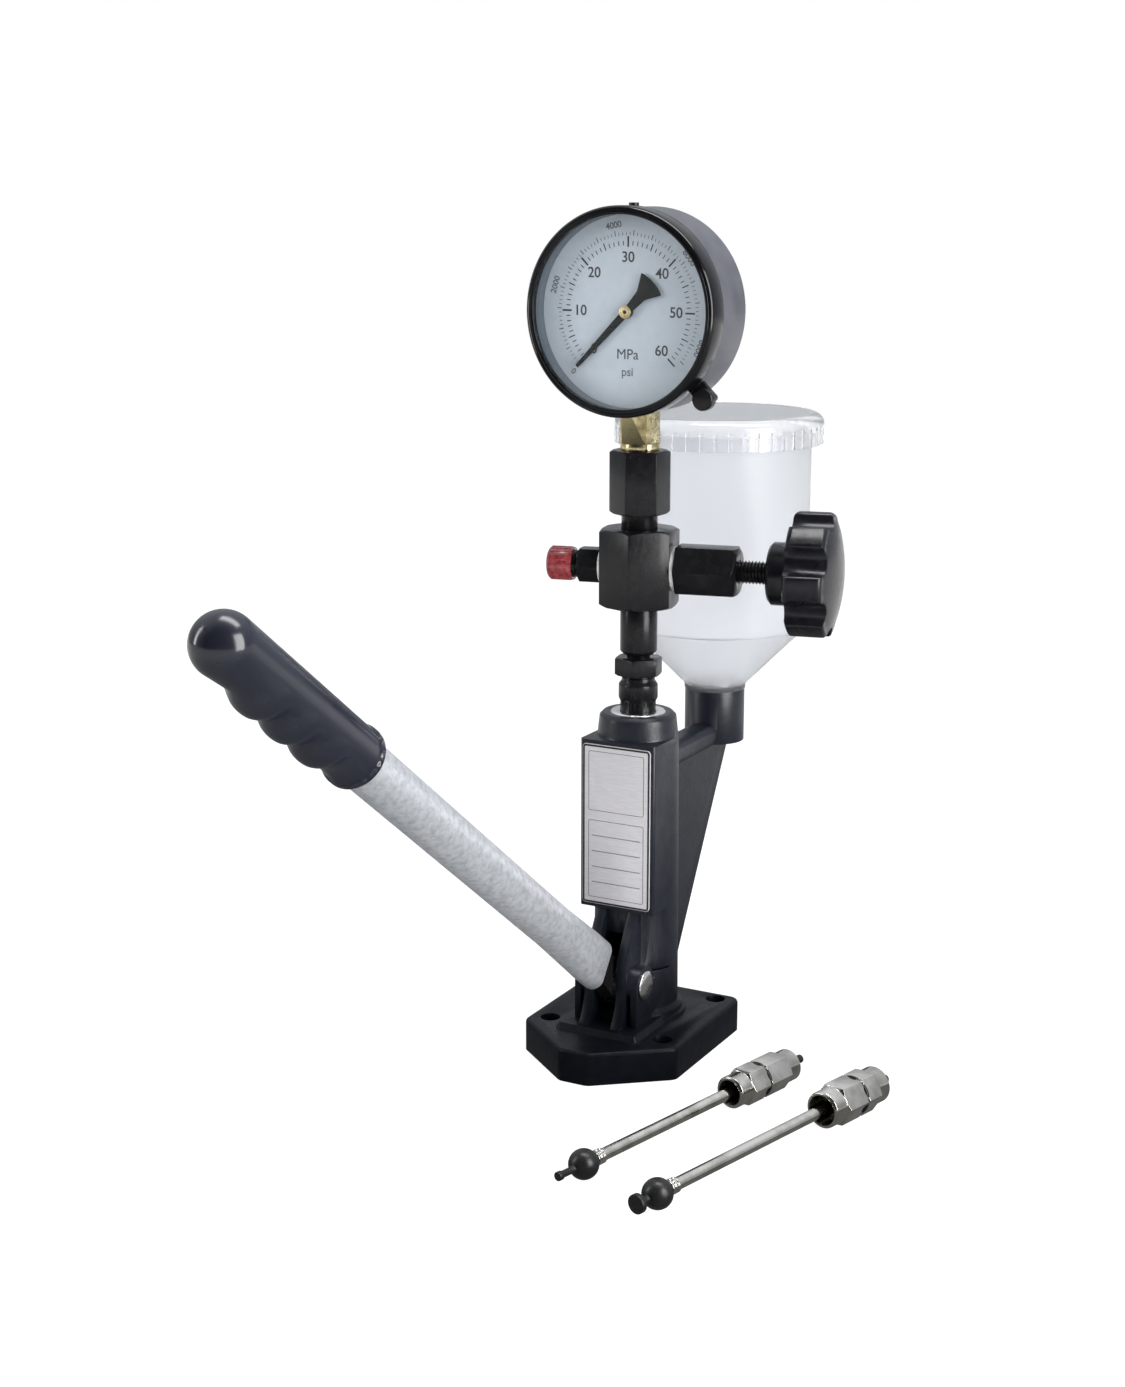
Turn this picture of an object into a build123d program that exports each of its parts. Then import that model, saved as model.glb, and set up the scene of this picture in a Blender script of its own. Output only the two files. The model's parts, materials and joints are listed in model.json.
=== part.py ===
from build123d import *
import os
from math import cos, radians, sin, sqrt, tan

# Hand-operated tester for diesel injectors. Millimetres, Z up.
# The origin is on the axis of the pump column, at the underside of the base.
# The lever, the label and the dial face -Y, and the fuel cup stands behind, at +Y.

os.makedirs("parts", exist_ok=True)

# Driving dimensions of the whole tester

base_width = 89.0
base_back = 39.6
base_side_front = 42.7
base_nose = 71.7
base_nose_width = 16.0
base_thickness = 17.3
column_low_radius = 22.5
column_top_radius = 21.5
column_height = 181.0
pivot_forward = 25.5
pivot_height = 41.0
lever_rest_angle = 36.5
lever_swing_angle = 32.0
block_rise = 76.0
port_azimuth = 101.5
adapter_length = 40.0
gauge_stem_length = 18.2
gauge_radius = 51.5
gauge_azimuth = 28.4
cup_back = 96.6
cup_radius = 50.5
cup_height = 144.4

# Clearances

running_gap = 0.05
seated_gap = 0.02
open_gap = 0.3
overrun = 1.0

# Angle at which the corners of the hexagons are turned down
hexagon_bevel_angle = 30.0


def hexagon_bar(plane, flats, length, turn, near_bevel, far_bevel):
    """Hexagon bar that stands on a plane, with its corners turned down at both ends."""
    corner = flats / sqrt(3)
    near_fall = near_bevel * tan(radians(hexagon_bevel_angle))
    far_fall = far_bevel * tan(radians(hexagon_bevel_angle))
    with BuildPart() as bar:
        with BuildSketch(plane):
            RegularPolygon(flats / 2, 6, major_radius=False, rotation=turn)
        extrude(amount=length)
        with BuildSketch(Plane(plane.origin, x_dir=plane.z_dir, z_dir=plane.y_dir)):
            with BuildLine():
                Polyline(
                    (0, 0),
                    (0, corner - near_bevel),
                    (near_fall, corner),
                    (length - far_fall, corner),
                    (length, corner - far_bevel),
                    (length, 0),
                    close=True,
                )
            make_face()
        revolve(axis=Axis(plane.origin, plane.z_dir), mode=Mode.INTERSECT)
    return bar.part


def coil_spring(coil_radius, wire_radius, low, high, turns):
    """Upright spring of round wire: quarter turns, each an arc that meets the next in line."""
    quarters = 4 * turns
    rise = (high - low) / quarters
    slope = rise / (2 * coil_radius)
    with BuildPart() as spring:
        with BuildLine() as route:
            for quarter in range(quarters):
                start_angle = radians(90 * quarter)
                end_angle = radians(90 * (quarter + 1))
                start_height = low + quarter * rise
                TangentArc(
                    (coil_radius * cos(start_angle), coil_radius * sin(start_angle), start_height),
                    (coil_radius * cos(end_angle), coil_radius * sin(end_angle), start_height + rise),
                    tangent=(-sin(start_angle), cos(start_angle), slope),
                )
        wire = route.wires()[0]
        with BuildSketch(Plane(origin=wire @ 0, z_dir=wire % 0)):
            Circle(wire_radius)
        sweep(path=wire)
    samples = 24
    points = [wire @ (step / (samples * turns)) for step in range(samples * turns + 1)]
    least = min(
        (points[second] - points[first]).length
        for first in range(len(points))
        for second in range(first + samples // 2, len(points))
    )
    gap = round(least - 2 * wire_radius, 2)
    print("spring of wire radius", wire_radius, "has a least gap to itself of", gap)
    return spring.part


def finish(piece, name):
    """Name a finished piece and write its file."""
    piece.part.label = name
    export_step(piece.part, "parts/" + name + ".step")


# Pump body: one casting with base, column, label box, clevis ears, arm and cup holder

base_corner_radius = 6.0
base_edge_radius = 2.0
base_hole_radius = 5.25
base_hole_pitch = 66.0
base_hole_middle = -2.2
foot_radius = 27.0
foot_step = 2.2
foot_ledge = 2.0
collar_height = 15.0
collar_taper = 2.4
collar_round = 1.8
box_width = 43.0
box_front = 24.0
box_rise = 38.0
box_drop = 12.0
box_round = 2.0
ear_gap = 12.8
ear_thickness = 5.6
boss_radius = 10.2
boss_face = 18.0
ear_brow = 14.0
ear_foot_front = 46.0
ear_rib_thickness = 3.4
ear_rib_back = 12.0
heel_pad_width = 48.0
heel_pad_front = 48.0
heel_pad_height = 3.2
heel_pad_round = 3.0
heel_pad_draft_angle = 30.0
slot_back = 9.0
slot_fall = 16.0
slot_rise = 25.0
saw_slot_rise = 4.0
saw_slot_width = 1.2
saw_slot_front = 16.0
saw_slot_length = 12.0
saw_slot_inner = 15.5
tappet_radius = 9.0
element_radius = 11.0
element_rise = 57.0
valve_seat_length = 8.0
mouth_radius = 14.6
mouth_depth = 9.0
holder_radius = 16.6
holder_fall = 5.0
holder_rise = 24.6
holder_bore_radius = 13.0
holder_bore_depth = 15.0
arm_width = 16.0
arm_height = 13.0
arm_drop = 31.0
arm_round = 5.0
web_thickness = 9.0
web_rib_radius = 4.5
web_rib_top_back = 105.5
web_rib_foot_back = 31.0
fuel_way_radius = 2.0
pin_radius = 5.0
box_low = pivot_height + box_rise
box_high = column_height - box_drop
slot_low = pivot_height - slot_fall
slot_high = pivot_height + slot_rise
saw_slot_height = pivot_height + saw_slot_rise
arm_middle = column_height - arm_drop
holder_low = arm_middle - holder_fall
holder_high = arm_middle + holder_rise
element_low = pivot_height + element_rise
valve_seat_high = column_height - mouth_depth
barrel_high = valve_seat_high - valve_seat_length
barrel_length = barrel_high - element_low

with BuildPart() as pump_body:
    with BuildSketch(Plane.XY) as base_plan:
        with BuildLine():
            Polyline(
                (-base_width / 2, base_back),
                (-base_width / 2, -base_side_front),
                (-base_nose_width / 2, -base_nose),
                (base_nose_width / 2, -base_nose),
                (base_width / 2, -base_side_front),
                (base_width / 2, base_back),
                close=True,
            )
        make_face()
        fillet(base_plan.vertices(), base_corner_radius)
    extrude(amount=base_thickness)
    fillet(pump_body.faces().sort_by(Axis.Z)[-1].edges(), base_edge_radius)

    # Column with its stepped foot and tapered collar
    with BuildSketch(Plane.XZ):
        with BuildLine():
            Polyline(
                (0, base_thickness - foot_step),
                (foot_radius, base_thickness - foot_step),
                (foot_radius, base_thickness + foot_step),
                (foot_radius - foot_ledge, base_thickness + foot_step),
                (foot_radius - foot_ledge, base_thickness + 2 * foot_step),
                (column_low_radius, base_thickness + 3 * foot_step),
                (column_top_radius, column_height - collar_height),
                (column_top_radius - collar_taper + collar_round / 2, column_height - collar_round),
                (column_top_radius - collar_taper - collar_round / 2, column_height),
                (0, column_height),
                close=True,
            )
        make_face()
    revolve(axis=Axis.Z)

    # Flat-fronted box that carries the label
    with BuildSketch(Plane.XY.offset(box_low)) as box_plan:
        Rectangle(box_width, box_front, align=(Align.CENTER, Align.MAX))
        fillet(box_plan.vertices().group_by(Axis.Y)[0], box_round)
    extrude(amount=box_high - box_low)

    # Low pad under the heel of the lever
    with BuildSketch(Plane.XY.offset(base_thickness)) as pad_plan:
        Rectangle(heel_pad_width, heel_pad_front, align=(Align.CENTER, Align.MAX))
        fillet(pad_plan.vertices().group_by(Axis.Y)[0], heel_pad_round)
    extrude(amount=heel_pad_height, taper=heel_pad_draft_angle)

    # Ramp between the ears, below the sweep of the lever
    with BuildSketch(Plane.YZ):
        with BuildLine():
            ramp = TangentArc(
                (-ear_foot_front, base_thickness), (-foot_radius - overrun, slot_low), tangent=(1, 0)
            )
            Polyline(ramp @ 1, (0, slot_low), (0, base_thickness), ramp @ 0)
        make_face()
    extrude(amount=ear_gap / 2 + overrun, both=True)

    # Two clevis ears, each with a round boss for the pin and a rib below the boss
    for side in (1, -1):
        with BuildSketch(Plane.YZ.offset(side * ear_gap / 2)):
            with BuildLine():
                brow = Polyline(
                    (0, box_low),
                    (-box_front + box_round, box_low),
                    (-pivot_forward - boss_radius, pivot_height + ear_brow),
                    (-pivot_forward - boss_radius, pivot_height),
                )
                instep = TangentArc(brow @ 1, (-ear_foot_front, base_thickness), tangent=(0, -1))
                Polyline(instep @ 1, (0, base_thickness), (0, box_low))
            make_face()
        extrude(amount=side * ear_thickness)
        with BuildSketch(Plane.YZ.offset(side * ear_gap / 2)):
            with Locations((-pivot_forward, pivot_height)):
                Circle(boss_radius)
        extrude(amount=side * (boss_face - ear_gap / 2))
        with BuildSketch(Plane.YZ.offset(side * boss_face)):
            with BuildLine():
                Polyline(
                    (-pivot_forward - boss_radius, pivot_height),
                    (-pivot_forward - boss_radius, base_thickness),
                    (-ear_rib_back, base_thickness),
                    (-ear_rib_back, pivot_height),
                    close=True,
                )
            make_face()
        extrude(amount=-side * ear_rib_thickness)

    # Cup holder, its arm and the web below it
    with BuildSketch(Plane.XY.offset(holder_low)):
        with Locations((0, cup_back)):
            Circle(holder_radius)
    extrude(amount=holder_high - holder_low)
    with BuildSketch(Plane.XZ):
        with Locations((0, arm_middle)):
            RectangleRounded(arm_width, arm_height, arm_round)
    extrude(amount=-cup_back)
    with BuildSketch(Plane.YZ):
        with BuildLine():
            Polyline(
                (0, arm_middle),
                (web_rib_top_back, holder_low),
                (web_rib_foot_back, base_thickness),
                (0, base_thickness),
                close=True,
            )
        make_face()
    extrude(amount=web_thickness / 2, both=True)
    rib_run = Vector(0, web_rib_top_back - web_rib_foot_back, holder_low - base_thickness)
    with BuildSketch(Plane(origin=(0, web_rib_foot_back, base_thickness), z_dir=rib_run)):
        Circle(web_rib_radius)
    extrude(amount=rib_run.length + web_rib_radius)

    # Bores from the top, the slot for the lever's nose and the fuel way
    with BuildSketch(Plane.XZ):
        with BuildLine():
            Polyline(
                (0, slot_low),
                (tappet_radius + running_gap, slot_low),
                (tappet_radius + running_gap, element_low),
                (element_radius, element_low),
                (element_radius, valve_seat_high),
                (mouth_radius, valve_seat_high),
                (mouth_radius, column_height),
                (0, column_height),
                close=True,
            )
        make_face()
    revolve(axis=Axis.Z, mode=Mode.SUBTRACT)
    with BuildSketch(Plane.YZ):
        with Locations((slot_back, slot_low)):
            Rectangle(
                slot_back + foot_radius + 2 * overrun,
                slot_high - slot_low,
                align=(Align.MAX, Align.MIN),
            )
    extrude(amount=ear_gap / 2, both=True, mode=Mode.SUBTRACT)
    with BuildSketch(Plane.YZ):
        with Locations((-pivot_forward, pivot_height)):
            Circle(pin_radius + seated_gap)
    extrude(amount=boss_face + overrun, both=True, mode=Mode.SUBTRACT)
    with BuildSketch(Plane.XY.offset(saw_slot_height)):
        with Locations((saw_slot_inner, -saw_slot_front)):
            Rectangle(column_low_radius, saw_slot_length, align=(Align.MIN, Align.MIN))
    extrude(amount=saw_slot_width, mode=Mode.SUBTRACT)
    with BuildSketch(Plane.XY.offset(holder_high)):
        with Locations((0, cup_back)):
            Circle(holder_bore_radius)
    extrude(amount=-holder_bore_depth, mode=Mode.SUBTRACT)
    with BuildSketch(Plane.XY.offset(arm_middle)):
        with Locations((0, cup_back)):
            Circle(fuel_way_radius)
    extrude(amount=holder_high - arm_middle, mode=Mode.SUBTRACT)
    with BuildSketch(Plane.XZ):
        with Locations((0, arm_middle)):
            Circle(fuel_way_radius)
    extrude(amount=-cup_back, mode=Mode.SUBTRACT)
    with BuildSketch(Plane.XY):
        with Locations((0, base_hole_middle)):
            with GridLocations(base_hole_pitch, base_hole_pitch, 2, 2):
                Circle(base_hole_radius)
    extrude(amount=base_thickness, mode=Mode.SUBTRACT)
finish(pump_body, "pump_body")


# Label plate on the front of the box, with the box's edge showing all round it

label_border = 2.0
label_thickness = 0.8
label_round = 2.0

with BuildPart() as label_plate:
    with BuildSketch(Plane.XZ.offset(box_front)):
        with Locations((0, (box_low + box_high) / 2)):
            RectangleRounded(
                box_width - 2 * label_border, box_high - box_low - 2 * label_border, label_round
            )
    extrude(amount=label_thickness)
finish(label_plate, "label_plate")


# Lever: forged arm on the pin, squeezed tube and finger grip

lever_cos = cos(radians(lever_rest_angle))
lever_sin = sin(radians(lever_rest_angle))
lever_side = Plane(
    origin=(0, -pivot_forward, pivot_height), x_dir=(0, -lever_cos, lever_sin), z_dir=(-1, 0, 0)
)


def lever_station(run):
    """Plane square to the lever, at a distance from the pivot."""
    return Plane(
        origin=(0, -pivot_forward - run * lever_cos, pivot_height + run * lever_sin),
        x_dir=(1, 0, 0),
        z_dir=(0, -lever_cos, lever_sin),
    )


hub_radius = 10.5
tang_thickness = 8.0
nose_thickness = 9.0
nose_reach = 25.0
nose_radius = 6.0
nose_rest_angle = lever_swing_angle / 2
nose_back = nose_reach * cos(radians(nose_rest_angle))
nose_drop = nose_reach * sin(radians(nose_rest_angle))
tube_start = 24.5
tang_end = 60.0
tube_radius = 11.5
tube_wall = 2.0
tube_flat_width = 12.4
tube_flat_height = 26.8
tube_flat_end = 40.0
tube_round_start = 84.0
tube_end = 404.0
grip_start = 295.5
grip_length = 120.0
grip_radius = 13.6
grip_collar_width = 3.0
grip_collar_rise = 0.9
finger_start = 313.0
finger_pitch = 23.6
finger_count = 3
finger_sink = 2.2
finger_notch_radius = 11.5
finger_crest_radius = 13.3
tang_height = tube_flat_height - tube_flat_width

with BuildPart() as lever_arm:
    with BuildSketch(lever_side):
        Circle(hub_radius)
    extrude(amount=ear_gap / 2 - open_gap, both=True)
    with BuildSketch(lever_side):
        Circle(hub_radius)
        Rectangle(tube_start, tang_height, align=(Align.MIN, Align.CENTER))
        make_hull()
        Rectangle(tang_end, tang_height, align=(Align.MIN, Align.CENTER))
    extrude(amount=tang_thickness / 2 - seated_gap, both=True)
    # The nose lies level under the tappet while the lever rests
    with BuildSketch(Plane.YZ):
        with Locations((-pivot_forward, pivot_height - nose_drop)):
            Circle(nose_radius)
        with Locations((-pivot_forward + nose_back, pivot_height - nose_drop)):
            Circle(nose_radius)
        make_hull()
    extrude(amount=nose_thickness / 2, both=True)
    with BuildSketch(lever_side):
        Circle(pin_radius + running_gap)
    extrude(amount=ear_gap, both=True, mode=Mode.SUBTRACT)
finish(lever_arm, "lever_arm")

# The tube is flat where it grips the forging and swells to its full round beyond it
with BuildPart() as lever_tube:
    for inset, mode in ((0, Mode.ADD), (tube_wall, Mode.SUBTRACT)):
        flat = (
            tube_flat_width - 2 * inset,
            tube_flat_height - 2 * inset,
            tube_flat_width / 2 - inset - seated_gap,
        )
        full = (2 * (tube_radius - inset), 2 * (tube_radius - inset), tube_radius - inset - seated_gap)
        with BuildSketch(lever_station(tube_start)):
            RectangleRounded(*flat)
        extrude(amount=tube_flat_end - tube_start, mode=mode)
        with BuildSketch(lever_station(tube_flat_end)):
            RectangleRounded(*flat)
        with BuildSketch(lever_station(tube_round_start)):
            RectangleRounded(*full)
        loft(mode=mode)
        with BuildSketch(lever_station(tube_round_start)):
            RectangleRounded(*full)
        extrude(amount=tube_end - tube_round_start, mode=mode)
finish(lever_tube, "lever_tube")

with BuildPart() as grip:
    with BuildSketch(lever_side):
        with BuildLine():
            skin = Polyline(
                (grip_start, 0),
                (grip_start, grip_radius + grip_collar_rise / 2),
                (grip_start + grip_collar_rise / 2, grip_radius + grip_collar_rise),
                (grip_start + grip_collar_width, grip_radius + grip_collar_rise),
                (grip_start + grip_collar_width + grip_collar_rise, grip_radius),
                (grip_start + grip_length - grip_radius, grip_radius),
            )
            CenterArc((grip_start + grip_length - grip_radius, 0), grip_radius, 0, 90)
            Line((grip_start + grip_length, 0), skin @ 0)
        make_face()
    revolve(axis=Axis(lever_side.origin, lever_side.x_dir))
    # Finger ridges stand out below only, because they turn about a lower axis
    with BuildSketch(lever_side):
        with BuildLine():
            for finger in range(finger_count):
                ThreePointArc(
                    (finger_start + finger * finger_pitch, -finger_sink - finger_notch_radius),
                    (finger_start + (finger + 1 / 2) * finger_pitch, -finger_sink - finger_crest_radius),
                    (finger_start + (finger + 1) * finger_pitch, -finger_sink - finger_notch_radius),
                )
            Polyline(
                (finger_start + finger_count * finger_pitch, -finger_sink - finger_notch_radius),
                (finger_start + finger_count * finger_pitch, -finger_sink),
                (finger_start, -finger_sink),
                (finger_start, -finger_sink - finger_notch_radius),
            )
        make_face()
    revolve(axis=Axis(lever_side.from_local_coords((0, -finger_sink, 0)), lever_side.x_dir))
    with BuildSketch(lever_station(grip_start)):
        Circle(tube_radius + seated_gap)
    extrude(amount=tube_end - grip_start + open_gap, mode=Mode.SUBTRACT)
finish(grip, "grip")


# Pivot pin, headed at +X, and the circlip in its groove at -X

pin_head_radius = 7.8
pin_head_thickness = 1.8
pin_tail = 2.8
clip_thickness = 1.0
clip_radius = 7.4
clip_groove_depth = 0.9
clip_mouth = 5.0
groove_start = -boss_face - open_gap

with BuildPart() as pivot_pin:
    with BuildSketch(Plane.XY.offset(pivot_height)):
        with BuildLine():
            Polyline(
                (-boss_face - pin_tail, -pivot_forward),
                (-boss_face - pin_tail, -pivot_forward + pin_radius),
                (groove_start - clip_thickness, -pivot_forward + pin_radius),
                (groove_start - clip_thickness, -pivot_forward + pin_radius - clip_groove_depth),
                (groove_start, -pivot_forward + pin_radius - clip_groove_depth),
                (groove_start, -pivot_forward + pin_radius),
                (boss_face, -pivot_forward + pin_radius),
                (boss_face, -pivot_forward + pin_head_radius),
                (boss_face + pin_head_thickness / 2, -pivot_forward + pin_head_radius),
                (boss_face + pin_head_thickness, -pivot_forward + pin_radius),
                (boss_face + pin_head_thickness, -pivot_forward),
                close=True,
            )
        make_face()
    revolve(axis=Axis((0, -pivot_forward, pivot_height), (1, 0, 0)))
finish(pivot_pin, "pivot_pin")

with BuildPart() as pin_circlip:
    with BuildSketch(Plane.YZ.offset(groove_start - seated_gap)):
        with Locations((-pivot_forward, pivot_height)):
            Circle(clip_radius)
            Circle(pin_radius - clip_groove_depth + seated_gap, mode=Mode.SUBTRACT)
            Rectangle(clip_radius, clip_mouth, align=(Align.MAX, Align.CENTER), mode=Mode.SUBTRACT)
    extrude(amount=-clip_thickness + 2 * seated_gap)
finish(pin_circlip, "pin_circlip")


# Pump element in the column: tappet, plunger, spring, barrel and delivery valve

tappet_length = 20.0
tappet_bevel = 1.0
plunger_radius = 4.0
plunger_foot_radius = 6.0
plunger_foot_height = 3.0
spring_seat_radius = 8.4
spring_seat_thickness = 1.6
spring_wire_radius = 0.9
spring_coil_radius = 7.0
spring_turns = 6
inlet_port_radius = 1.5
valve_stem_radius = 2.5
valve_head_radius = 4.0
valve_head_height = 2.4
valve_pin_radius = 1.6
valve_pin_height = 3.4
tappet_low = pivot_height - nose_drop + nose_radius + open_gap
tappet_high = tappet_low + tappet_length
plunger_high = arm_middle - fuel_way_radius - open_gap

with BuildPart() as tappet:
    with BuildSketch(Plane.XZ):
        with BuildLine():
            Polyline(
                (0, tappet_low),
                (tappet_radius - tappet_bevel, tappet_low),
                (tappet_radius, tappet_low + tappet_bevel),
                (tappet_radius, tappet_high),
                (plunger_foot_radius + open_gap, tappet_high),
                (plunger_foot_radius + open_gap, tappet_high - plunger_foot_height),
                (0, tappet_high - plunger_foot_height),
                close=True,
            )
        make_face()
    revolve(axis=Axis.Z)
finish(tappet, "tappet")

with BuildPart() as plunger:
    with BuildSketch(Plane.XY.offset(tappet_high - plunger_foot_height)):
        Circle(plunger_foot_radius)
    extrude(amount=plunger_foot_height)
    with BuildSketch(Plane.XY.offset(tappet_high - plunger_foot_height)):
        Circle(plunger_radius)
    extrude(amount=plunger_high - tappet_high + plunger_foot_height)
finish(plunger, "plunger")

with BuildPart() as spring_seat:
    with BuildSketch(Plane.XY.offset(tappet_high)):
        Circle(spring_seat_radius)
        Circle(plunger_radius + open_gap, mode=Mode.SUBTRACT)
    extrude(amount=spring_seat_thickness)
finish(spring_seat, "spring_seat")

plunger_coil = coil_spring(
    spring_coil_radius,
    spring_wire_radius,
    tappet_high + spring_seat_thickness + spring_wire_radius + open_gap,
    element_low - spring_wire_radius - open_gap,
    spring_turns,
)
with BuildPart() as plunger_spring:
    add(plunger_coil)
finish(plunger_spring, "plunger_spring")

with BuildPart() as barrel:
    with BuildSketch(Plane.XY.offset(element_low)):
        Circle(element_radius - running_gap)
        Circle(plunger_radius + running_gap, mode=Mode.SUBTRACT)
    extrude(amount=barrel_length)
    with BuildSketch(Plane.XZ):
        with Locations((0, arm_middle)):
            Circle(inlet_port_radius)
    extrude(amount=-element_radius, mode=Mode.SUBTRACT)
finish(barrel, "barrel")

with BuildPart() as delivery_valve_seat:
    with BuildSketch(Plane.XY.offset(barrel_high)):
        Circle(element_radius - running_gap)
        Circle(valve_stem_radius + running_gap, mode=Mode.SUBTRACT)
    extrude(amount=valve_seat_length)
finish(delivery_valve_seat, "delivery_valve_seat")

with BuildPart() as delivery_valve:
    with BuildSketch(Plane.XY.offset(barrel_high + open_gap)):
        Circle(valve_stem_radius)
    extrude(amount=valve_seat_length)
    with BuildSketch(Plane.XY.offset(valve_seat_high + open_gap)):
        Circle(valve_head_radius)
    extrude(amount=valve_head_height)
    with BuildSketch(Plane.XY.offset(valve_seat_high + open_gap + valve_head_height)):
        Circle(valve_pin_radius)
    extrude(amount=valve_pin_height)
finish(delivery_valve, "delivery_valve")


# Valve holder screwed into the mouth of the column, its lock ring and the valve's spring

holder_flange_height = 4.6
chamber_radius = 5.0
chamber_height = 16.0
drill_radius = 1.5
neck_radius = 9.25
neck_rise = 5.6
bead_radius = 10.2
bead_slope_length = 2.0
bead_length = 7.0
waist_radius = 8.6
waist_length = 3.8
stub_radius = 8.0
stub_length = 6.6
lock_ring_height = 5.0
lock_ring_bevel = 0.8
valve_wire_radius = 0.4
valve_coil_radius = 3.0
valve_coil_turns = 4
flange_high = valve_seat_high + holder_flange_height
neck_high = column_height + neck_rise
bead_low = neck_high + bead_slope_length
bead_high = bead_low + bead_length
waist_high = bead_high + waist_length
stub_high = waist_high + stub_length
chamber_high = valve_seat_high + chamber_height

with BuildPart() as valve_holder:
    with BuildSketch(Plane.XZ):
        with BuildLine():
            Polyline(
                (drill_radius, chamber_high),
                (chamber_radius, chamber_high),
                (chamber_radius, valve_seat_high),
                (mouth_radius - running_gap, valve_seat_high),
                (mouth_radius - running_gap, flange_high),
                (neck_radius, flange_high),
                (neck_radius, neck_high),
                (bead_radius, bead_low),
                (bead_radius, bead_high),
                (waist_radius, waist_high - (bead_radius - waist_radius)),
                (waist_radius, waist_high),
                (stub_radius, waist_high),
                (stub_radius, stub_high),
                (drill_radius, stub_high),
                close=True,
            )
        make_face()
    revolve(axis=Axis.Z)
finish(valve_holder, "valve_holder")

with BuildPart() as lock_ring:
    with BuildSketch(Plane.XZ):
        with BuildLine():
            Polyline(
                (neck_radius + running_gap, flange_high),
                (mouth_radius - running_gap, flange_high),
                (mouth_radius - running_gap, flange_high + lock_ring_height - lock_ring_bevel),
                (mouth_radius - running_gap - lock_ring_bevel, flange_high + lock_ring_height),
                (neck_radius + running_gap, flange_high + lock_ring_height),
                close=True,
            )
        make_face()
    revolve(axis=Axis.Z)
finish(lock_ring, "lock_ring")

valve_coil = coil_spring(
    valve_coil_radius,
    valve_wire_radius,
    valve_seat_high + open_gap + valve_head_height + valve_wire_radius + open_gap,
    chamber_high - valve_wire_radius - open_gap,
    valve_coil_turns,
)
with BuildPart() as valve_spring:
    add(valve_coil)
finish(valve_spring, "valve_spring")


# Union nut and riser tube up to the cross block

port_turn = port_azimuth - 90
corner_turn = port_turn - 30
hexagon_bevel = 1.2
hexagon_seat_bevel = 0.6
union_flats = 22.0
union_gap = 1.2
union_length = 9.1
union_lip = 2.2
riser_cone_radius = 7.4
riser_cone_height = 1.0
riser_neck_radius = 6.0
riser_neck_rise = 1.7
riser_radius = 9.6
riser_bevel = 2.0
passage_radius = 2.0
block_flats = 37.0
block_height = 40.0
block_bevel = 2.4
port_radius = 8.0
port_depth = 9.5
union_low = waist_high + union_gap
union_high = union_low + union_length
riser_neck_high = union_high + riser_neck_rise
block_centre_height = column_height + block_rise
block_low = block_centre_height - block_height / 2
block_high = block_centre_height + block_height / 2
block_face = block_flats / 2

union_bar = hexagon_bar(
    Plane.XY.offset(union_low), union_flats, union_high - union_low, corner_turn, hexagon_bevel, hexagon_bevel
)
with BuildPart() as union_nut:
    add(union_bar)
    with BuildSketch(Plane.XY.offset(union_low)):
        Circle(stub_radius + running_gap)
    extrude(amount=union_high - union_lip - union_low, mode=Mode.SUBTRACT)
    with BuildSketch(Plane.XY.offset(union_low)):
        Circle(riser_neck_radius + running_gap)
    extrude(amount=union_high - union_low, mode=Mode.SUBTRACT)
finish(union_nut, "union_nut")

with BuildPart() as riser_tube:
    with BuildSketch(Plane.XZ):
        with BuildLine():
            Polyline(
                (passage_radius, stub_high),
                (riser_cone_radius, stub_high),
                (riser_cone_radius, stub_high + riser_cone_height),
                (riser_neck_radius, union_high - union_lip),
                (riser_neck_radius, riser_neck_high),
                (riser_radius - riser_bevel, riser_neck_high),
                (riser_radius, riser_neck_high + riser_bevel),
                (riser_radius, block_low),
                (port_radius - running_gap, block_low),
                (port_radius - running_gap, block_low + port_depth),
                (passage_radius, block_low + port_depth),
                close=True,
            )
        make_face()
    revolve(axis=Axis.Z)
finish(riser_tube, "riser_tube")

# Frames of the side ports: local x runs out of the block, and local y is upwards
port_cos = cos(radians(port_turn))
port_sin = sin(radians(port_turn))
block_middle = (0, 0, block_centre_height)
valve_side = Plane(origin=block_middle, x_dir=(port_cos, port_sin, 0), z_dir=(port_sin, -port_cos, 0))
outlet_side = Plane(origin=block_middle, x_dir=(-port_cos, -port_sin, 0), z_dir=(-port_sin, port_cos, 0))
valve_axis = Axis(valve_side.origin, valve_side.x_dir)
outlet_axis = Axis(outlet_side.origin, outlet_side.x_dir)


def across(side, run):
    """Plane square to the axis of a port, at a distance from the block's middle."""
    return Plane(origin=side.from_local_coords((run, 0, 0)), x_dir=side.z_dir, z_dir=side.x_dir)


block_bar = hexagon_bar(
    Plane.XY.offset(block_low), block_flats, block_height, corner_turn, block_bevel, block_bevel
)
with BuildPart() as cross_block:
    add(block_bar)
    for port in (
        Plane.XY.offset(block_low),
        Plane.XY.offset(block_high - port_depth),
        across(valve_side, block_face - port_depth),
        across(outlet_side, block_face - port_depth),
    ):
        with BuildSketch(port):
            Circle(port_radius)
        extrude(amount=port_depth, mode=Mode.SUBTRACT)
    with BuildSketch(Plane.XY.offset(block_low)):
        Circle(passage_radius)
    extrude(amount=block_height, mode=Mode.SUBTRACT)
    with BuildSketch(across(outlet_side, -block_face)):
        Circle(passage_radius)
    extrude(amount=block_flats, mode=Mode.SUBTRACT)
finish(cross_block, "cross_block")


# Outlet: washer, stub with a male thread and cone seat, and a pull-off cap

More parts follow.
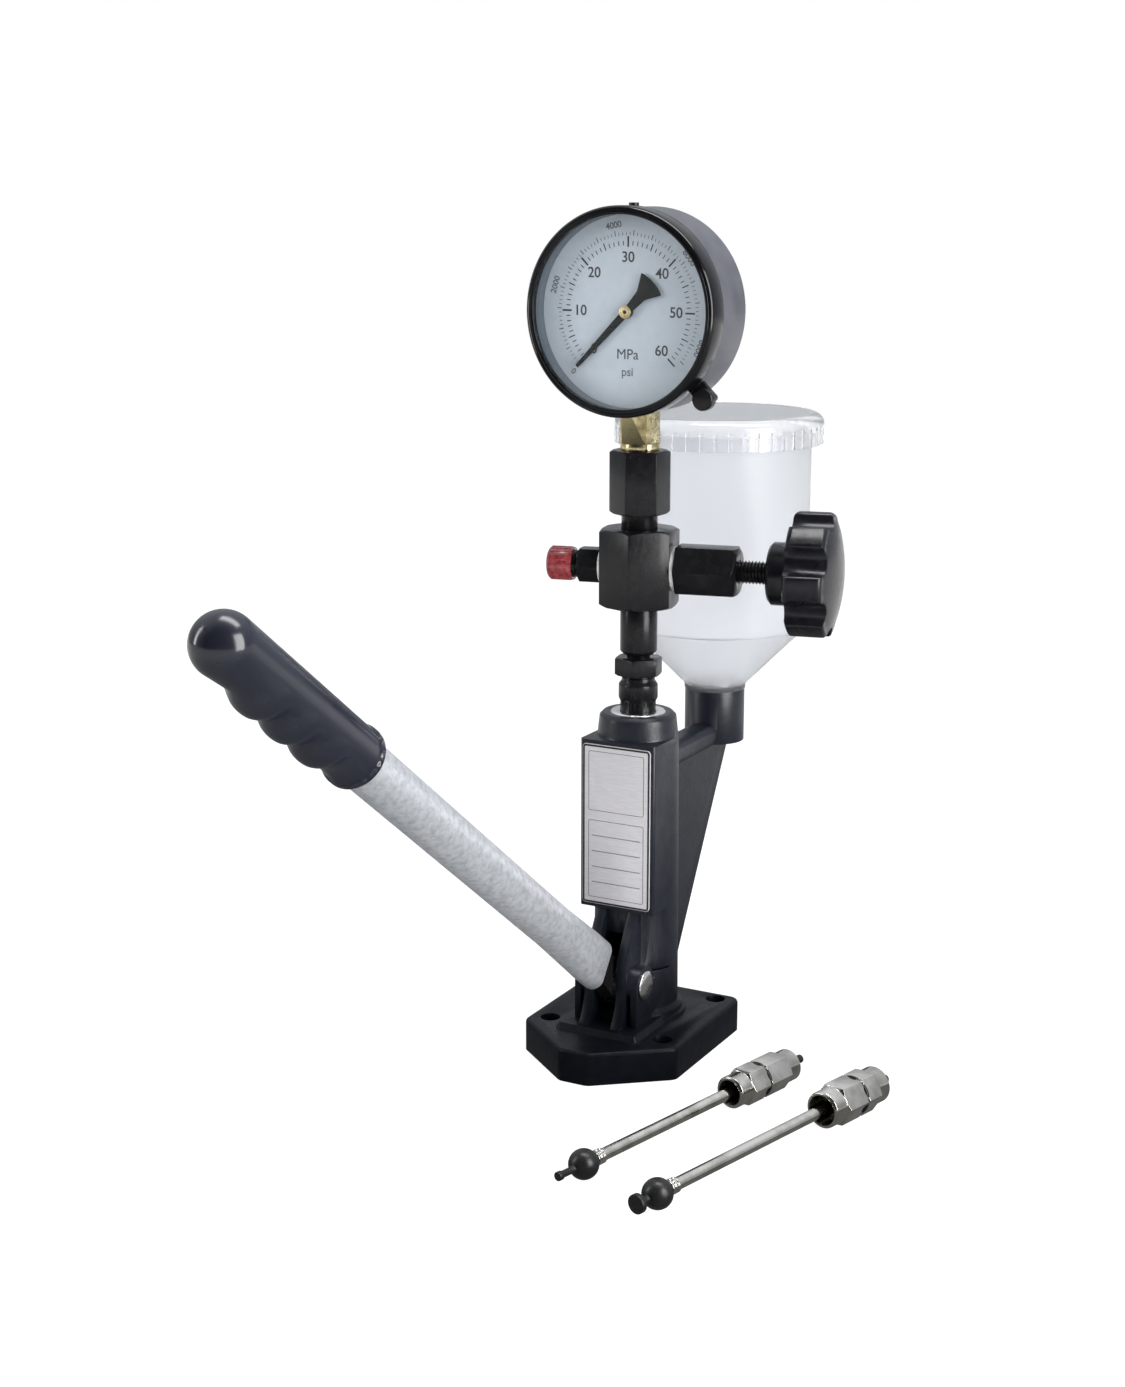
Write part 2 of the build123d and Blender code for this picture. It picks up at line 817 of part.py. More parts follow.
outlet_washer_radius = 9.6
outlet_washer_thickness = 1.4
outlet_flats = 17.0
outlet_hexagon_length = 11.4
outlet_neck_radius = 6.0
outlet_neck_length = 1.6
outlet_thread_radius = 6.95
outlet_thread_length = 13.0
outlet_thread_bevel = 0.9
outlet_bore_radius = 1.5
outlet_cone_radius = 4.0
cap_wall = 1.5
cap_setback = 1.6
cap_end_thickness = 1.6
cap_end_round = 1.0
outlet_hexagon_start = block_face + outlet_washer_thickness
outlet_hexagon_end = outlet_hexagon_start + outlet_hexagon_length
outlet_thread_start = outlet_hexagon_end + outlet_neck_length
outlet_tip = outlet_thread_start + outlet_thread_length
cap_inner_radius = outlet_thread_radius + running_gap
cap_start = outlet_thread_start + cap_setback
cap_end = outlet_tip + open_gap + cap_end_thickness

with BuildPart() as outlet_washer:
    with BuildSketch(across(outlet_side, block_face)):
        Circle(outlet_washer_radius)
        Circle(port_radius + running_gap, mode=Mode.SUBTRACT)
    extrude(amount=outlet_washer_thickness)
finish(outlet_washer, "outlet_washer")

outlet_bar = hexagon_bar(
    across(outlet_side, outlet_hexagon_start),
    outlet_flats,
    outlet_hexagon_length,
    0,
    hexagon_seat_bevel,
    hexagon_bevel,
)
with BuildPart() as outlet_stub:
    add(outlet_bar)
    with BuildSketch(outlet_side):
        with BuildLine():
            Polyline(
                (block_face - port_depth, 0),
                (block_face - port_depth, port_radius - running_gap),
                (outlet_hexagon_start, port_radius - running_gap),
                (outlet_hexagon_start, outlet_neck_radius),
                (outlet_thread_start, outlet_neck_radius),
                (outlet_thread_start, outlet_thread_radius),
                (outlet_tip - outlet_thread_bevel, outlet_thread_radius),
                (outlet_tip, outlet_thread_radius - outlet_thread_bevel),
                (outlet_tip, outlet_cone_radius),
                (outlet_tip - outlet_cone_radius, 0),
                close=True,
            )
        make_face()
    revolve(axis=outlet_axis)
    with BuildSketch(across(outlet_side, block_face - port_depth)):
        Circle(outlet_bore_radius)
    extrude(amount=outlet_tip, mode=Mode.SUBTRACT)
finish(outlet_stub, "outlet_stub")

with BuildPart() as outlet_cap:
    with BuildSketch(outlet_side):
        with BuildLine():
            Polyline(
                (cap_start, cap_inner_radius),
                (cap_start, cap_inner_radius + cap_wall),
                (cap_end - cap_end_round, cap_inner_radius + cap_wall),
                (cap_end, cap_inner_radius + cap_wall - cap_end_round),
                (cap_end, 0),
                (outlet_tip + open_gap, 0),
                (outlet_tip + open_gap, cap_inner_radius),
                close=True,
            )
        make_face()
    revolve(axis=outlet_axis)
finish(outlet_cap, "outlet_cap")


# Shut-off valve: washer, bonnet, seal, needle, spindle and star knob

valve_washer_radius = 11.4
valve_washer_thickness = 2.0
bonnet_flats = 24.0
bonnet_length = 32.0
bonnet_bevel = 3.0
spindle_radius = 5.95
spindle_start = 24.0
spindle_end = 85.0
spindle_bevel = 1.0
seal_start = 14.0
seal_length = 4.0
needle_radius = 4.0
needle_tip_radius = 1.2
needle_tip_length = 3.0
knob_start = 68.5
knob_hub_radius = 16.0
knob_hub_length = 11.5
knob_hub_bevel = 1.6
star_radius = 32.0
star_lobes = 7
star_valley_radius = 8.0
star_valley_pitch_radius = 33.5
star_valley_round = 2.5
star_thickness = 20.0
star_edge_round = 3.0
star_crown = 5.0
star_turn_angle = 12.0
bonnet_start = block_face + valve_washer_thickness
bonnet_end = bonnet_start + bonnet_length
port_floor = block_face - port_depth
needle_end = spindle_start - open_gap
star_start = knob_start + knob_hub_length

with BuildPart() as valve_washer:
    with BuildSketch(across(valve_side, block_face)):
        Circle(valve_washer_radius)
        Circle(port_radius + running_gap, mode=Mode.SUBTRACT)
    extrude(amount=valve_washer_thickness)
finish(valve_washer, "valve_washer")

bonnet_bar = hexagon_bar(
    across(valve_side, bonnet_start), bonnet_flats, bonnet_length, 0, hexagon_seat_bevel, bonnet_bevel
)
with BuildPart() as valve_bonnet:
    add(bonnet_bar)
    with BuildSketch(across(valve_side, port_floor)):
        Circle(port_radius - running_gap)
    extrude(amount=bonnet_start - port_floor)
    with BuildSketch(across(valve_side, port_floor)):
        Circle(spindle_radius + running_gap)
    extrude(amount=bonnet_end - port_floor, mode=Mode.SUBTRACT)
finish(valve_bonnet, "valve_bonnet")

with BuildPart() as stem_seal:
    with BuildSketch(across(valve_side, seal_start)):
        Circle(spindle_radius)
        Circle(needle_radius + running_gap, mode=Mode.SUBTRACT)
    extrude(amount=seal_length)
finish(stem_seal, "stem_seal")

with BuildPart() as valve_needle:
    with BuildSketch(valve_side):
        with BuildLine():
            Polyline(
                (port_floor + open_gap, 0),
                (port_floor + open_gap, needle_tip_radius),
                (port_floor + open_gap + needle_tip_length, needle_radius),
                (needle_end, needle_radius),
                (needle_end, 0),
                close=True,
            )
        make_face()
    revolve(axis=valve_axis)
finish(valve_needle, "valve_needle")

with BuildPart() as valve_spindle:
    with BuildSketch(valve_side):
        with BuildLine():
            Polyline(
                (spindle_start, 0),
                (spindle_start, spindle_radius - spindle_bevel),
                (spindle_start + spindle_bevel, spindle_radius),
                (spindle_end - spindle_bevel, spindle_radius),
                (spindle_end, spindle_radius - spindle_bevel),
                (spindle_end, 0),
                close=True,
            )
        make_face()
    revolve(axis=valve_axis)
finish(valve_spindle, "valve_spindle")

with BuildPart() as star_knob:
    with BuildSketch(across(valve_side, star_start)) as star_plan:
        Circle(star_radius)
        with PolarLocations(star_valley_pitch_radius, star_lobes, start_angle=star_turn_angle):
            Circle(star_valley_radius, mode=Mode.SUBTRACT)
        fillet(star_plan.vertices(), star_valley_round)
    extrude(amount=star_thickness + star_crown)
    # The rim of the star is rounded and its outer face is a shallow dome
    with BuildSketch(valve_side):
        with BuildLine():
            near = Line((star_start, 0), (star_start, star_radius - star_edge_round))
            near_edge = TangentArc(near @ 1, (star_start + star_edge_round, star_radius), tangent=(0, 1))
            rim = Line(near_edge @ 1, (star_start + star_thickness - star_edge_round, star_radius))
            far_edge = TangentArc(
                rim @ 1, (star_start + star_thickness, star_radius - star_edge_round), tangent=(1, 0)
            )
            crown = TangentArc((star_start + star_thickness + star_crown, 0), far_edge @ 1, tangent=(0, 1))
            Line(crown @ 0, near @ 0)
        make_face()
    revolve(axis=valve_axis, mode=Mode.INTERSECT)
    with BuildSketch(valve_side):
        with BuildLine():
            Polyline(
                (knob_start, 0),
                (knob_start, knob_hub_radius - knob_hub_bevel),
                (knob_start + knob_hub_bevel, knob_hub_radius),
                (star_start + star_edge_round, knob_hub_radius),
                (star_start + star_edge_round, 0),
                close=True,
            )
        make_face()
    revolve(axis=valve_axis)
    with BuildSketch(across(valve_side, knob_start)):
        Circle(spindle_radius + seated_gap)
    extrude(amount=spindle_end - knob_start + seated_gap, mode=Mode.SUBTRACT)
finish(star_knob, "star_knob")


# Gauge adapter on top of the block, and the gauge's brass socket screwed into it

adapter_neck_radius = 9.3
adapter_neck_height = 7.8
adapter_flats = 27.0
adapter_bevel = 1.8
socket_thread_radius = 9.95
socket_bore_depth = 15.0
gauge_seal_thickness = 1.5
socket_collar_radius = 10.0
socket_collar_height = 3.5
socket_width = 15.0
socket_drop = 36.7
socket_head_width = 28.0
socket_head_height = 5.0
adapter_high = block_high + adapter_length
gauge_centre_height = adapter_high + gauge_stem_length + gauge_radius
socket_high = gauge_centre_height - socket_drop
adapter_hexagon_low = block_high + adapter_neck_height
socket_low = adapter_high - socket_bore_depth + gauge_seal_thickness

adapter_bar = hexagon_bar(
    Plane.XY.offset(adapter_hexagon_low),
    adapter_flats,
    adapter_high - adapter_hexagon_low,
    gauge_azimuth,
    adapter_bevel,
    adapter_bevel,
)
with BuildPart() as gauge_adapter:
    add(adapter_bar)
    with BuildSketch(Plane.XY.offset(block_high - port_depth)):
        Circle(port_radius - running_gap)
    extrude(amount=port_depth)
    with BuildSketch(Plane.XY.offset(block_high)):
        Circle(adapter_neck_radius)
    extrude(amount=adapter_neck_height)
    with BuildSketch(Plane.XY.offset(adapter_high)):
        Circle(socket_thread_radius + running_gap)
    extrude(amount=-socket_bore_depth, mode=Mode.SUBTRACT)
    with BuildSketch(Plane.XY.offset(block_high - port_depth)):
        Circle(passage_radius)
    extrude(amount=adapter_high - block_high, mode=Mode.SUBTRACT)
finish(gauge_adapter, "gauge_adapter")

with BuildPart() as gauge_seal:
    with BuildSketch(Plane.XY.offset(adapter_high - socket_bore_depth)):
        Circle(socket_thread_radius)
        Circle(passage_radius, mode=Mode.SUBTRACT)
    extrude(amount=gauge_seal_thickness)
finish(gauge_seal, "gauge_seal")

with BuildPart() as gauge_socket:
    with BuildSketch(Plane.XY.offset(socket_low)):
        Circle(socket_thread_radius)
    extrude(amount=adapter_high - socket_low)
    with BuildSketch(Plane.XY.offset(adapter_high)):
        Circle(socket_collar_radius)
    extrude(amount=socket_collar_height)
    with BuildSketch(Plane.XY.offset(adapter_high)):
        Rectangle(socket_width, socket_width)
    extrude(amount=socket_high - adapter_high)
    with BuildSketch(Plane.XY.offset(socket_high)):
        Rectangle(socket_head_width, socket_width)
    extrude(amount=-socket_head_height)
    with BuildSketch(Plane.XY.offset(socket_low)):
        Circle(passage_radius)
    extrude(amount=socket_high - socket_head_height - socket_low, mode=Mode.SUBTRACT)
finish(gauge_socket, "gauge_socket")


# Gauge housing: case, bezel, glass, dark ring, dial and filler plug

bezel_overhang = 0.8
case_wall = 1.4
case_front = 20.0
case_back = 17.0
case_back_round = 4.0
bezel_front = 26.7
bezel_back = 14.0
bezel_lip_width = 4.3
bezel_lip_thickness = 2.0
bezel_edge_round = 1.6
glass_thickness = 2.0
dial_front = 14.4
dial_thickness = 0.8
dial_hole_radius = 3.0
ring_wall = 2.0
plug_back = 9.0
plug_radius = 2.5
plug_stem_radius = 1.5
plug_rise = 2.0
gauge_axis = Axis((0, 0, gauge_centre_height), (0, 1, 0))
glass_front = bezel_front - bezel_lip_thickness
glass_back = glass_front - glass_thickness
case_radius = gauge_radius - bezel_overhang
bezel_lip_radius = gauge_radius - bezel_lip_width
case_inner_radius = case_radius - case_wall


def facing(forward, height):
    """Plane that faces the reader of the gauge, through a point before the gauge's axis."""
    return Plane(origin=(0, -forward, height), x_dir=(1, 0, 0), z_dir=(0, -1, 0))


def facing_turned(forward, angle):
    """The same plane on the gauge's axis, with its local x turned up by an angle."""
    direction = (cos(radians(angle)), 0, sin(radians(angle)))
    return Plane(origin=(0, -forward, gauge_centre_height), x_dir=direction, z_dir=(0, -1, 0))


with BuildPart() as gauge_case:
    with BuildSketch(facing(-case_back, gauge_centre_height)):
        Circle(case_radius)
    extrude(amount=case_back + case_front)
    fillet(gauge_case.faces().sort_by(Axis.Y)[-1].edges(), case_back_round)
    with BuildSketch(facing(-case_back + case_wall, gauge_centre_height)):
        Circle(case_inner_radius)
    extrude(amount=case_back + case_front, mode=Mode.SUBTRACT)
    with BuildSketch(Plane.XY.offset(adapter_high)):
        Rectangle(socket_width + 2 * seated_gap, socket_width + 2 * seated_gap)
    extrude(amount=gauge_centre_height - adapter_high, mode=Mode.SUBTRACT)
    with BuildSketch(Plane.XY.offset(gauge_centre_height)):
        with Locations((0, -plug_back)):
            Circle(plug_stem_radius + seated_gap)
    extrude(amount=2 * case_radius, mode=Mode.SUBTRACT)
finish(gauge_case, "gauge_case")

with BuildPart() as gauge_bezel:
    with BuildSketch(Plane.XY.offset(gauge_centre_height)):
        with BuildLine():
            Polyline(
                (bezel_lip_radius, -bezel_front + bezel_edge_round / 2),
                (bezel_lip_radius + bezel_edge_round / 2, -bezel_front),
                (gauge_radius - bezel_edge_round, -bezel_front),
                (gauge_radius, -bezel_front + bezel_edge_round),
                (gauge_radius, -bezel_back),
                (case_radius + seated_gap, -bezel_back),
                (case_radius + seated_gap, -glass_front),
                (bezel_lip_radius, -glass_front),
                close=True,
            )
        make_face()
    revolve(axis=gauge_axis)
finish(gauge_bezel, "gauge_bezel")

with BuildPart() as gauge_glass:
    with BuildSketch(facing(glass_back, gauge_centre_height)):
        Circle(case_radius - seated_gap)
    extrude(amount=glass_thickness)
finish(gauge_glass, "gauge_glass")

with BuildPart() as glass_ring:
    with BuildSketch(facing(dial_front, gauge_centre_height)):
        Circle(case_inner_radius - seated_gap)
        Circle(case_inner_radius - ring_wall, mode=Mode.SUBTRACT)
    extrude(amount=glass_back - dial_front)
finish(glass_ring, "glass_ring")

with BuildPart() as dial:
    with BuildSketch(facing(dial_front - dial_thickness, gauge_centre_height)):
        Circle(case_inner_radius - seated_gap)
        Circle(dial_hole_radius, mode=Mode.SUBTRACT)
    extrude(amount=dial_thickness)
finish(dial, "dial")

with BuildPart() as case_plug:
    with BuildSketch(Plane.XY.offset(gauge_centre_height + case_radius)):
        with Locations((0, -plug_back)):
            Circle(plug_radius)
    extrude(amount=plug_rise)
    with BuildSketch(Plane.XY.offset(gauge_centre_height + case_radius)):
        with Locations((0, -plug_back)):
            Circle(plug_stem_radius)
    extrude(amount=-case_wall)
finish(case_plug, "case_plug")


# Movement: pinion under the pointer, toothed sector, its link, and the plates that carry them

module = 0.5
pinion_teeth = 10
sector_circle_teeth = 80
sector_cut_teeth = 10
sector_lead_teeth = 1
tooth_rise_share = 0.9
tooth_fall_share = 1.1
tooth_root_share = 0.30
tooth_tip_share = 0.08
pinion_front = 8.0
pinion_length = 5.0
sector_front = 6.5
sector_thickness = 2.0
sector_rim = 3.0
sector_arm_width = 4.0
sector_hub_radius = 3.2
sector_tail = 8.0
tail_eye_radius = 2.2
tail_pin_radius = 0.9
shaft_radius = 1.2
plate_front = 10.5
plate_thickness = 1.5
back_plate_front = 1.9
plate_foot_width = 26.0
plate_foot_height = 6.0
pillar_radius = 1.6
pillar_spread = 10.0
pillar_rise = 3.0
top_pillar_rise = 6.0
plate_top_radius = 3.4
pointer_front = 16.6
pointer_boss_rise = 0.6
link_front = 4.2
link_thickness = 1.0
link_width = 2.0
link_eye_radius = 1.9
tube_coil_radius = 36.0
tube_coil_start_angle = 255.0
tube_coil_sweep_angle = 295.0
tube_coil_depth = 12.0
tube_coil_thickness = 4.0
tube_coil_back = 13.0
tube_foot_width = 8.0
tube_lug_radius = 2.6
tube_lug_angle = 3.0
tube_lug_thickness = 3.0
pinion_pitch_radius = module * pinion_teeth / 2
sector_pitch_radius = module * sector_circle_teeth / 2
sector_height = gauge_centre_height - pinion_pitch_radius - sector_pitch_radius
sector_root_radius = sector_pitch_radius - module * tooth_fall_share
tail_height = sector_height - sector_tail
pinion_step = 360 / pinion_teeth
sector_step = 360 / sector_circle_teeth
back_plate_back = back_plate_front - plate_thickness
tube_coil_front = tube_coil_back - tube_coil_depth


def toothed(pitch_radius, angles, step):
    """Outline of teeth at the given angles round a centre, each with two straight flanks."""
    root = pitch_radius - module * tooth_fall_share
    tip = pitch_radius + module * tooth_rise_share
    points = []
    for angle in angles:
        for radius, share in (
            (root, tooth_root_share),
            (tip, tooth_tip_share),
            (tip, -tooth_tip_share),
            (root, -tooth_root_share),
        ):
            turn = radians(angle + share * step)
            points.append((radius * cos(turn), radius * sin(turn)))
    return points


# The pinion has a tooth straight down, and the sector has a gap straight up for it
pinion_angles = [-90 - pinion_step * tooth for tooth in range(pinion_teeth)]
sector_angles = [90 + sector_step * (sector_lead_teeth - 1 / 2 - tooth) for tooth in range(sector_cut_teeth)]
sector_middle_angle = (sector_angles[0] + sector_angles[-1]) / 2

with BuildPart() as pinion_shaft:
    with BuildSketch(facing(pinion_front - pinion_length, gauge_centre_height)):
        with BuildLine():
            Polyline(toothed(pinion_pitch_radius, pinion_angles, pinion_step), close=True)
        make_face()
    extrude(amount=pinion_length)
    with BuildSketch(facing(back_plate_back, gauge_centre_height)):
        Circle(shaft_radius)
    extrude(amount=pointer_front + pointer_boss_rise - back_plate_back)
finish(pinion_shaft, "pinion_shaft")

with BuildPart() as sector_gear:
    with BuildSketch(facing(sector_front - sector_thickness, sector_height)):
        with BuildLine():
            teeth = Polyline(toothed(sector_pitch_radius, sector_angles, sector_step))
            rim_edge = CenterArc(
                (0, 0),
                sector_root_radius - sector_rim,
                sector_angles[-1] - sector_step / 2,
                sector_step * sector_cut_teeth,
            )
            Line(teeth @ 0, rim_edge @ 1)
            Line(teeth @ 1, rim_edge @ 0)
        make_face()
        with Locations(Rotation(0, 0, sector_middle_angle)):
            Rectangle(
                sector_root_radius - sector_rim / 2, sector_arm_width, align=(Align.MIN, Align.CENTER)
            )
        Circle(sector_hub_radius)
        Rectangle(tail_eye_radius, sector_tail, align=(Align.CENTER, Align.MAX))
        with Locations((0, -sector_tail)):
            Circle(tail_eye_radius)
    extrude(amount=sector_thickness)
    with BuildSketch(facing(back_plate_back, sector_height)):
        Circle(shaft_radius)
    extrude(amount=plate_front - back_plate_back)
    with BuildSketch(facing(link_front - link_thickness, tail_height)):
        Circle(tail_pin_radius)
    extrude(amount=sector_front - link_front + link_thickness)
finish(sector_gear, "sector_gear")

with BuildPart() as movement_plates:
    for front in (plate_front, back_plate_front):
        with BuildSketch(facing(front - plate_thickness, gauge_centre_height)) as plate_plan:
            Circle(pinion_pitch_radius + plate_top_radius)
            with Locations((0, top_pillar_rise)):
                Circle(plate_top_radius)
            with Locations((0, socket_high - gauge_centre_height)):
                Rectangle(plate_foot_width, plate_foot_height, align=(Align.CENTER, Align.MIN))
            make_hull()
            Circle(shaft_radius + running_gap, mode=Mode.SUBTRACT)
            with Locations((0, sector_height - gauge_centre_height)):
                Circle(shaft_radius + running_gap, mode=Mode.SUBTRACT)
        extrude(amount=plate_thickness)
    with BuildSketch(facing(back_plate_back, gauge_centre_height)):
        with Locations((0, top_pillar_rise)):
            Circle(pillar_radius)
    extrude(amount=plate_front - back_plate_back)
    # The lower pillars run on forwards and carry the dial
    with BuildSketch(facing(back_plate_back, socket_high + pillar_rise)):
        with Locations((pillar_spread, 0), (-pillar_spread, 0)):
            Circle(pillar_radius)
    extrude(amount=dial_front - dial_thickness - back_plate_back)
finish(movement_plates, "movement_plates")

# Bourdon tube: a flat tube bent round the gauge's axis, with a foot on the socket and a lug at its tip
tip_angle = tube_coil_start_angle - tube_coil_sweep_angle
lug_angle = tip_angle - tube_lug_angle
lug_across = tube_coil_radius * cos(radians(lug_angle))
lug_height = gauge_centre_height + tube_coil_radius * sin(radians(lug_angle))

start_cos = cos(radians(tube_coil_start_angle))
start_sin = sin(radians(tube_coil_start_angle))
start_plane = Plane(
    origin=(0, 0, gauge_centre_height), x_dir=(start_cos, 0, start_sin), z_dir=(-start_sin, 0, start_cos)
)

with BuildPart() as bourdon_tube:
    with BuildSketch(start_plane) as tube_section:
        with Locations((tube_coil_radius, tube_coil_back)):
            Rectangle(tube_coil_thickness, tube_coil_depth, align=(Align.CENTER, Align.MAX))
        fillet(tube_section.vertices(), tube_coil_thickness / 2 - seated_gap)
    revolve(axis=gauge_axis, revolution_arc=tube_coil_sweep_angle)
    with BuildSketch(Plane.XY.offset(socket_high)):
        with Locations((tube_coil_radius * start_cos, tube_coil_front)):
            Rectangle(
                tube_foot_width, socket_width / 2 - tube_coil_front, align=(Align.CENTER, Align.MIN)
            )
    extrude(amount=tube_coil_thickness)
    with BuildSketch(facing(-tube_coil_front - tube_lug_thickness, lug_height)):
        with Locations((lug_across, 0)):
            Circle(tube_lug_radius)
    extrude(amount=tube_lug_thickness)
    with BuildSketch(facing(-tube_coil_front, lug_height)):
        with Locations((lug_across, 0)):
            Circle(tail_pin_radius)
    extrude(amount=tube_coil_front + link_front - link_thickness - open_gap)
finish(bourdon_tube, "bourdon_tube")

link_start = Vector(0, -link_front + link_thickness, tail_height)
link_run = Vector(lug_across, 0, lug_height - tail_height)
link_plane = Plane(origin=link_start, x_dir=link_run, z_dir=(0, -1, 0))

with BuildPart() as tube_link:
    with BuildSketch(link_plane):
        Rectangle(link_run.length, link_width, align=(Align.MIN, Align.CENTER))
        with Locations((0, 0), (link_run.length, 0)):
            Circle(link_eye_radius)
        Circle(tail_pin_radius + running_gap, mode=Mode.SUBTRACT)
    extrude(amount=link_thickness)
finish(tube_link, "tube_link")


# Pointer with its boss, and the brass cap on the boss

pointer_rest_angle = 225.0
pointer_reach = 39.0
pointer_tip_width = 0.8
pointer_root_width = 3.4
pointer_neck_reach = 11.5
pointer_neck_width = 6.0
pointer_tail_reach = 20.8
pointer_tail_width = 15.0
pointer_thickness = 0.6
pointer_boss_radius = 3.3
pointer_boss_fall = 0.8
hub_cap_radius = 2.3
hub_cap_rise = 0.6
pointer_fan_run = sqrt(pointer_tail_reach**2 - (pointer_tail_width / 2) ** 2)

with BuildPart() as pointer:
    with BuildSketch(facing_turned(pointer_front - pointer_thickness, pointer_rest_angle)):
        with BuildLine():
            fan_end = ThreePointArc(
                (-pointer_fan_run, -pointer_tail_width / 2),
                (-pointer_tail_reach, 0),
                (-pointer_fan_run, pointer_tail_width / 2),
            )
            Polyline(
                fan_end @ 1,
                (-pointer_neck_reach, pointer_neck_width / 2),
                (0, pointer_root_width / 2),
                (pointer_reach, pointer_tip_width / 2),
                (pointer_reach, -pointer_tip_width / 2),
                (0, -pointer_root_width / 2),
                (-pointer_neck_reach, -pointer_neck_width / 2),
                fan_end @ 0,
            )
        make_face()
    extrude(amount=pointer_thickness)
    with BuildSketch(facing(pointer_front - pointer_thickness - pointer_boss_fall, gauge_centre_height)):
        Circle(pointer_boss_radius)
    extrude(amount=pointer_boss_fall + pointer_thickness + pointer_boss_rise)
    with BuildSketch(facing(0, gauge_centre_height)):
        Circle(shaft_radius + seated_gap)
    extrude(amount=pointer_front + pointer_boss_rise, mode=Mode.SUBTRACT)
finish(pointer, "pointer")

with BuildPart() as pointer_hub:
    with BuildSketch(facing(pointer_front + pointer_boss_rise, gauge_centre_height)):
        Circle(hub_cap_radius)
    extrude(amount=hub_cap_rise)
finish(pointer_hub, "pointer_hub")


# Thumb screw at the lower right of the case, in a small bracket

bracket_turn_angle = -45.0
bracket_front = 11.0
bracket_thickness = 3.0
bracket_width = 9.0
bracket_length = 11.3
bracket_round = 2.0
screw_standoff = 7.8
screw_shank_radius = 2.0
screw_shank_length = 10.0
screw_head_radius = 5.5
screw_head_height = 5.0
screw_head_bevel = 0.6
screw_reach = case_radius + screw_standoff

with BuildPart() as screw_bracket:
    with BuildSketch(facing_turned(bracket_front - bracket_thickness, bracket_turn_angle)) as bracket_plan:
        with Locations((case_radius + seated_gap, 0)):
            Rectangle(bracket_length, bracket_width, align=(Align.MIN, Align.CENTER))
        fillet(bracket_plan.vertices().group_by(Axis.X)[-1], bracket_round)
        with Locations((screw_reach, 0)):
            Circle(screw_shank_radius + running_gap, mode=Mode.SUBTRACT)
    extrude(amount=bracket_thickness)
finish(screw_bracket, "screw_bracket")

with BuildPart() as thumb_screw:
    with BuildSketch(facing_turned(bracket_front + open_gap, bracket_turn_angle)):
        with Locations((screw_reach, 0)):
            Circle(screw_head_radius)
    extrude(amount=screw_head_height)
    chamfer(thumb_screw.faces().sort_by(Axis.Y)[0].edges(), screw_head_bevel)
    with BuildSketch(facing_turned(bracket_front + open_gap, bracket_turn_angle)):
        with Locations((screw_reach, 0)):
            Circle(screw_shank_radius)
    extrude(amount=-screw_shank_length)
finish(thumb_screw, "thumb_screw")


# Fuel cup with its strainer, and the ribbed lid that rests on its rim

cup_wall = 1.8
cup_shoulder_rise = 36.4
cup_rim_radius = 53.0
cup_rim_height = 2.4
cup_neck_radius = 12.95
cup_neck_bore_radius = 9.0
cup_foot_radius = 17.0
cup_foot_height = 2.5
cup_floor = 3.2
strainer_radius = 13.0
strainer_thickness = 1.0
lid_radius = 57.0
lid_brim_drop = 7.0
lid_rise = 9.0
lid_wall = 2.0
lid_round = 6.0
lid_rib_count = 48
lid_groove_radius = 1.5
lid_groove_depth = 0.8
cup_low = holder_high - holder_bore_depth
cup_shoulder_height = holder_high + cup_shoulder_rise
cup_high = holder_high + cup_height
lid_low = cup_high - lid_brim_drop
lid_high = cup_high + lid_rise
cup_axis = Axis((0, cup_back, 0), (0, 0, 1))
cone_low = holder_high + cup_foot_height
cup_cone_rise = cup_shoulder_height - cone_low
cup_plane = Plane(origin=(0, cup_back, 0), x_dir=(1, 0, 0), z_dir=(0, -1, 0))
cup_bore_radius = cup_radius - cup_wall
cone_slant_share = cup_cone_rise / sqrt(cup_cone_rise**2 + (cup_radius - cup_foot_radius) ** 2)
cone_inset = cup_wall / cone_slant_share
floor_high = holder_high + cup_floor
floor_radius = (
    cup_foot_radius - cone_inset + (floor_high - cone_low) * (cup_radius - cup_foot_radius) / cup_cone_rise
)
shoulder_lift = (cone_inset - cup_wall) * cup_cone_rise / (cup_radius - cup_foot_radius)

with BuildPart() as cup:
    with BuildSketch(cup_plane):
        with BuildLine():
            Polyline(
                (cup_neck_bore_radius, cup_low),
                (cup_neck_radius, cup_low),
                (cup_neck_radius, holder_high),
                (cup_foot_radius, holder_high),
                (cup_foot_radius, cone_low),
                (cup_radius, cup_shoulder_height),
                (cup_radius, cup_high - cup_rim_height),
                (cup_rim_radius, cup_high - cup_rim_height),
                (cup_rim_radius, cup_high),
                (cup_bore_radius, cup_high),
                (cup_bore_radius, cup_shoulder_height + shoulder_lift),
                (floor_radius, floor_high),
                (cup_neck_bore_radius, floor_high),
                close=True,
            )
        make_face()
    revolve(axis=cup_axis)
finish(cup, "cup")

with BuildPart() as cup_strainer:
    with BuildSketch(Plane.XY.offset(floor_high)):
        with Locations((0, cup_back)):
            Circle(strainer_radius)
    extrude(amount=strainer_thickness)
finish(cup_strainer, "cup_strainer")

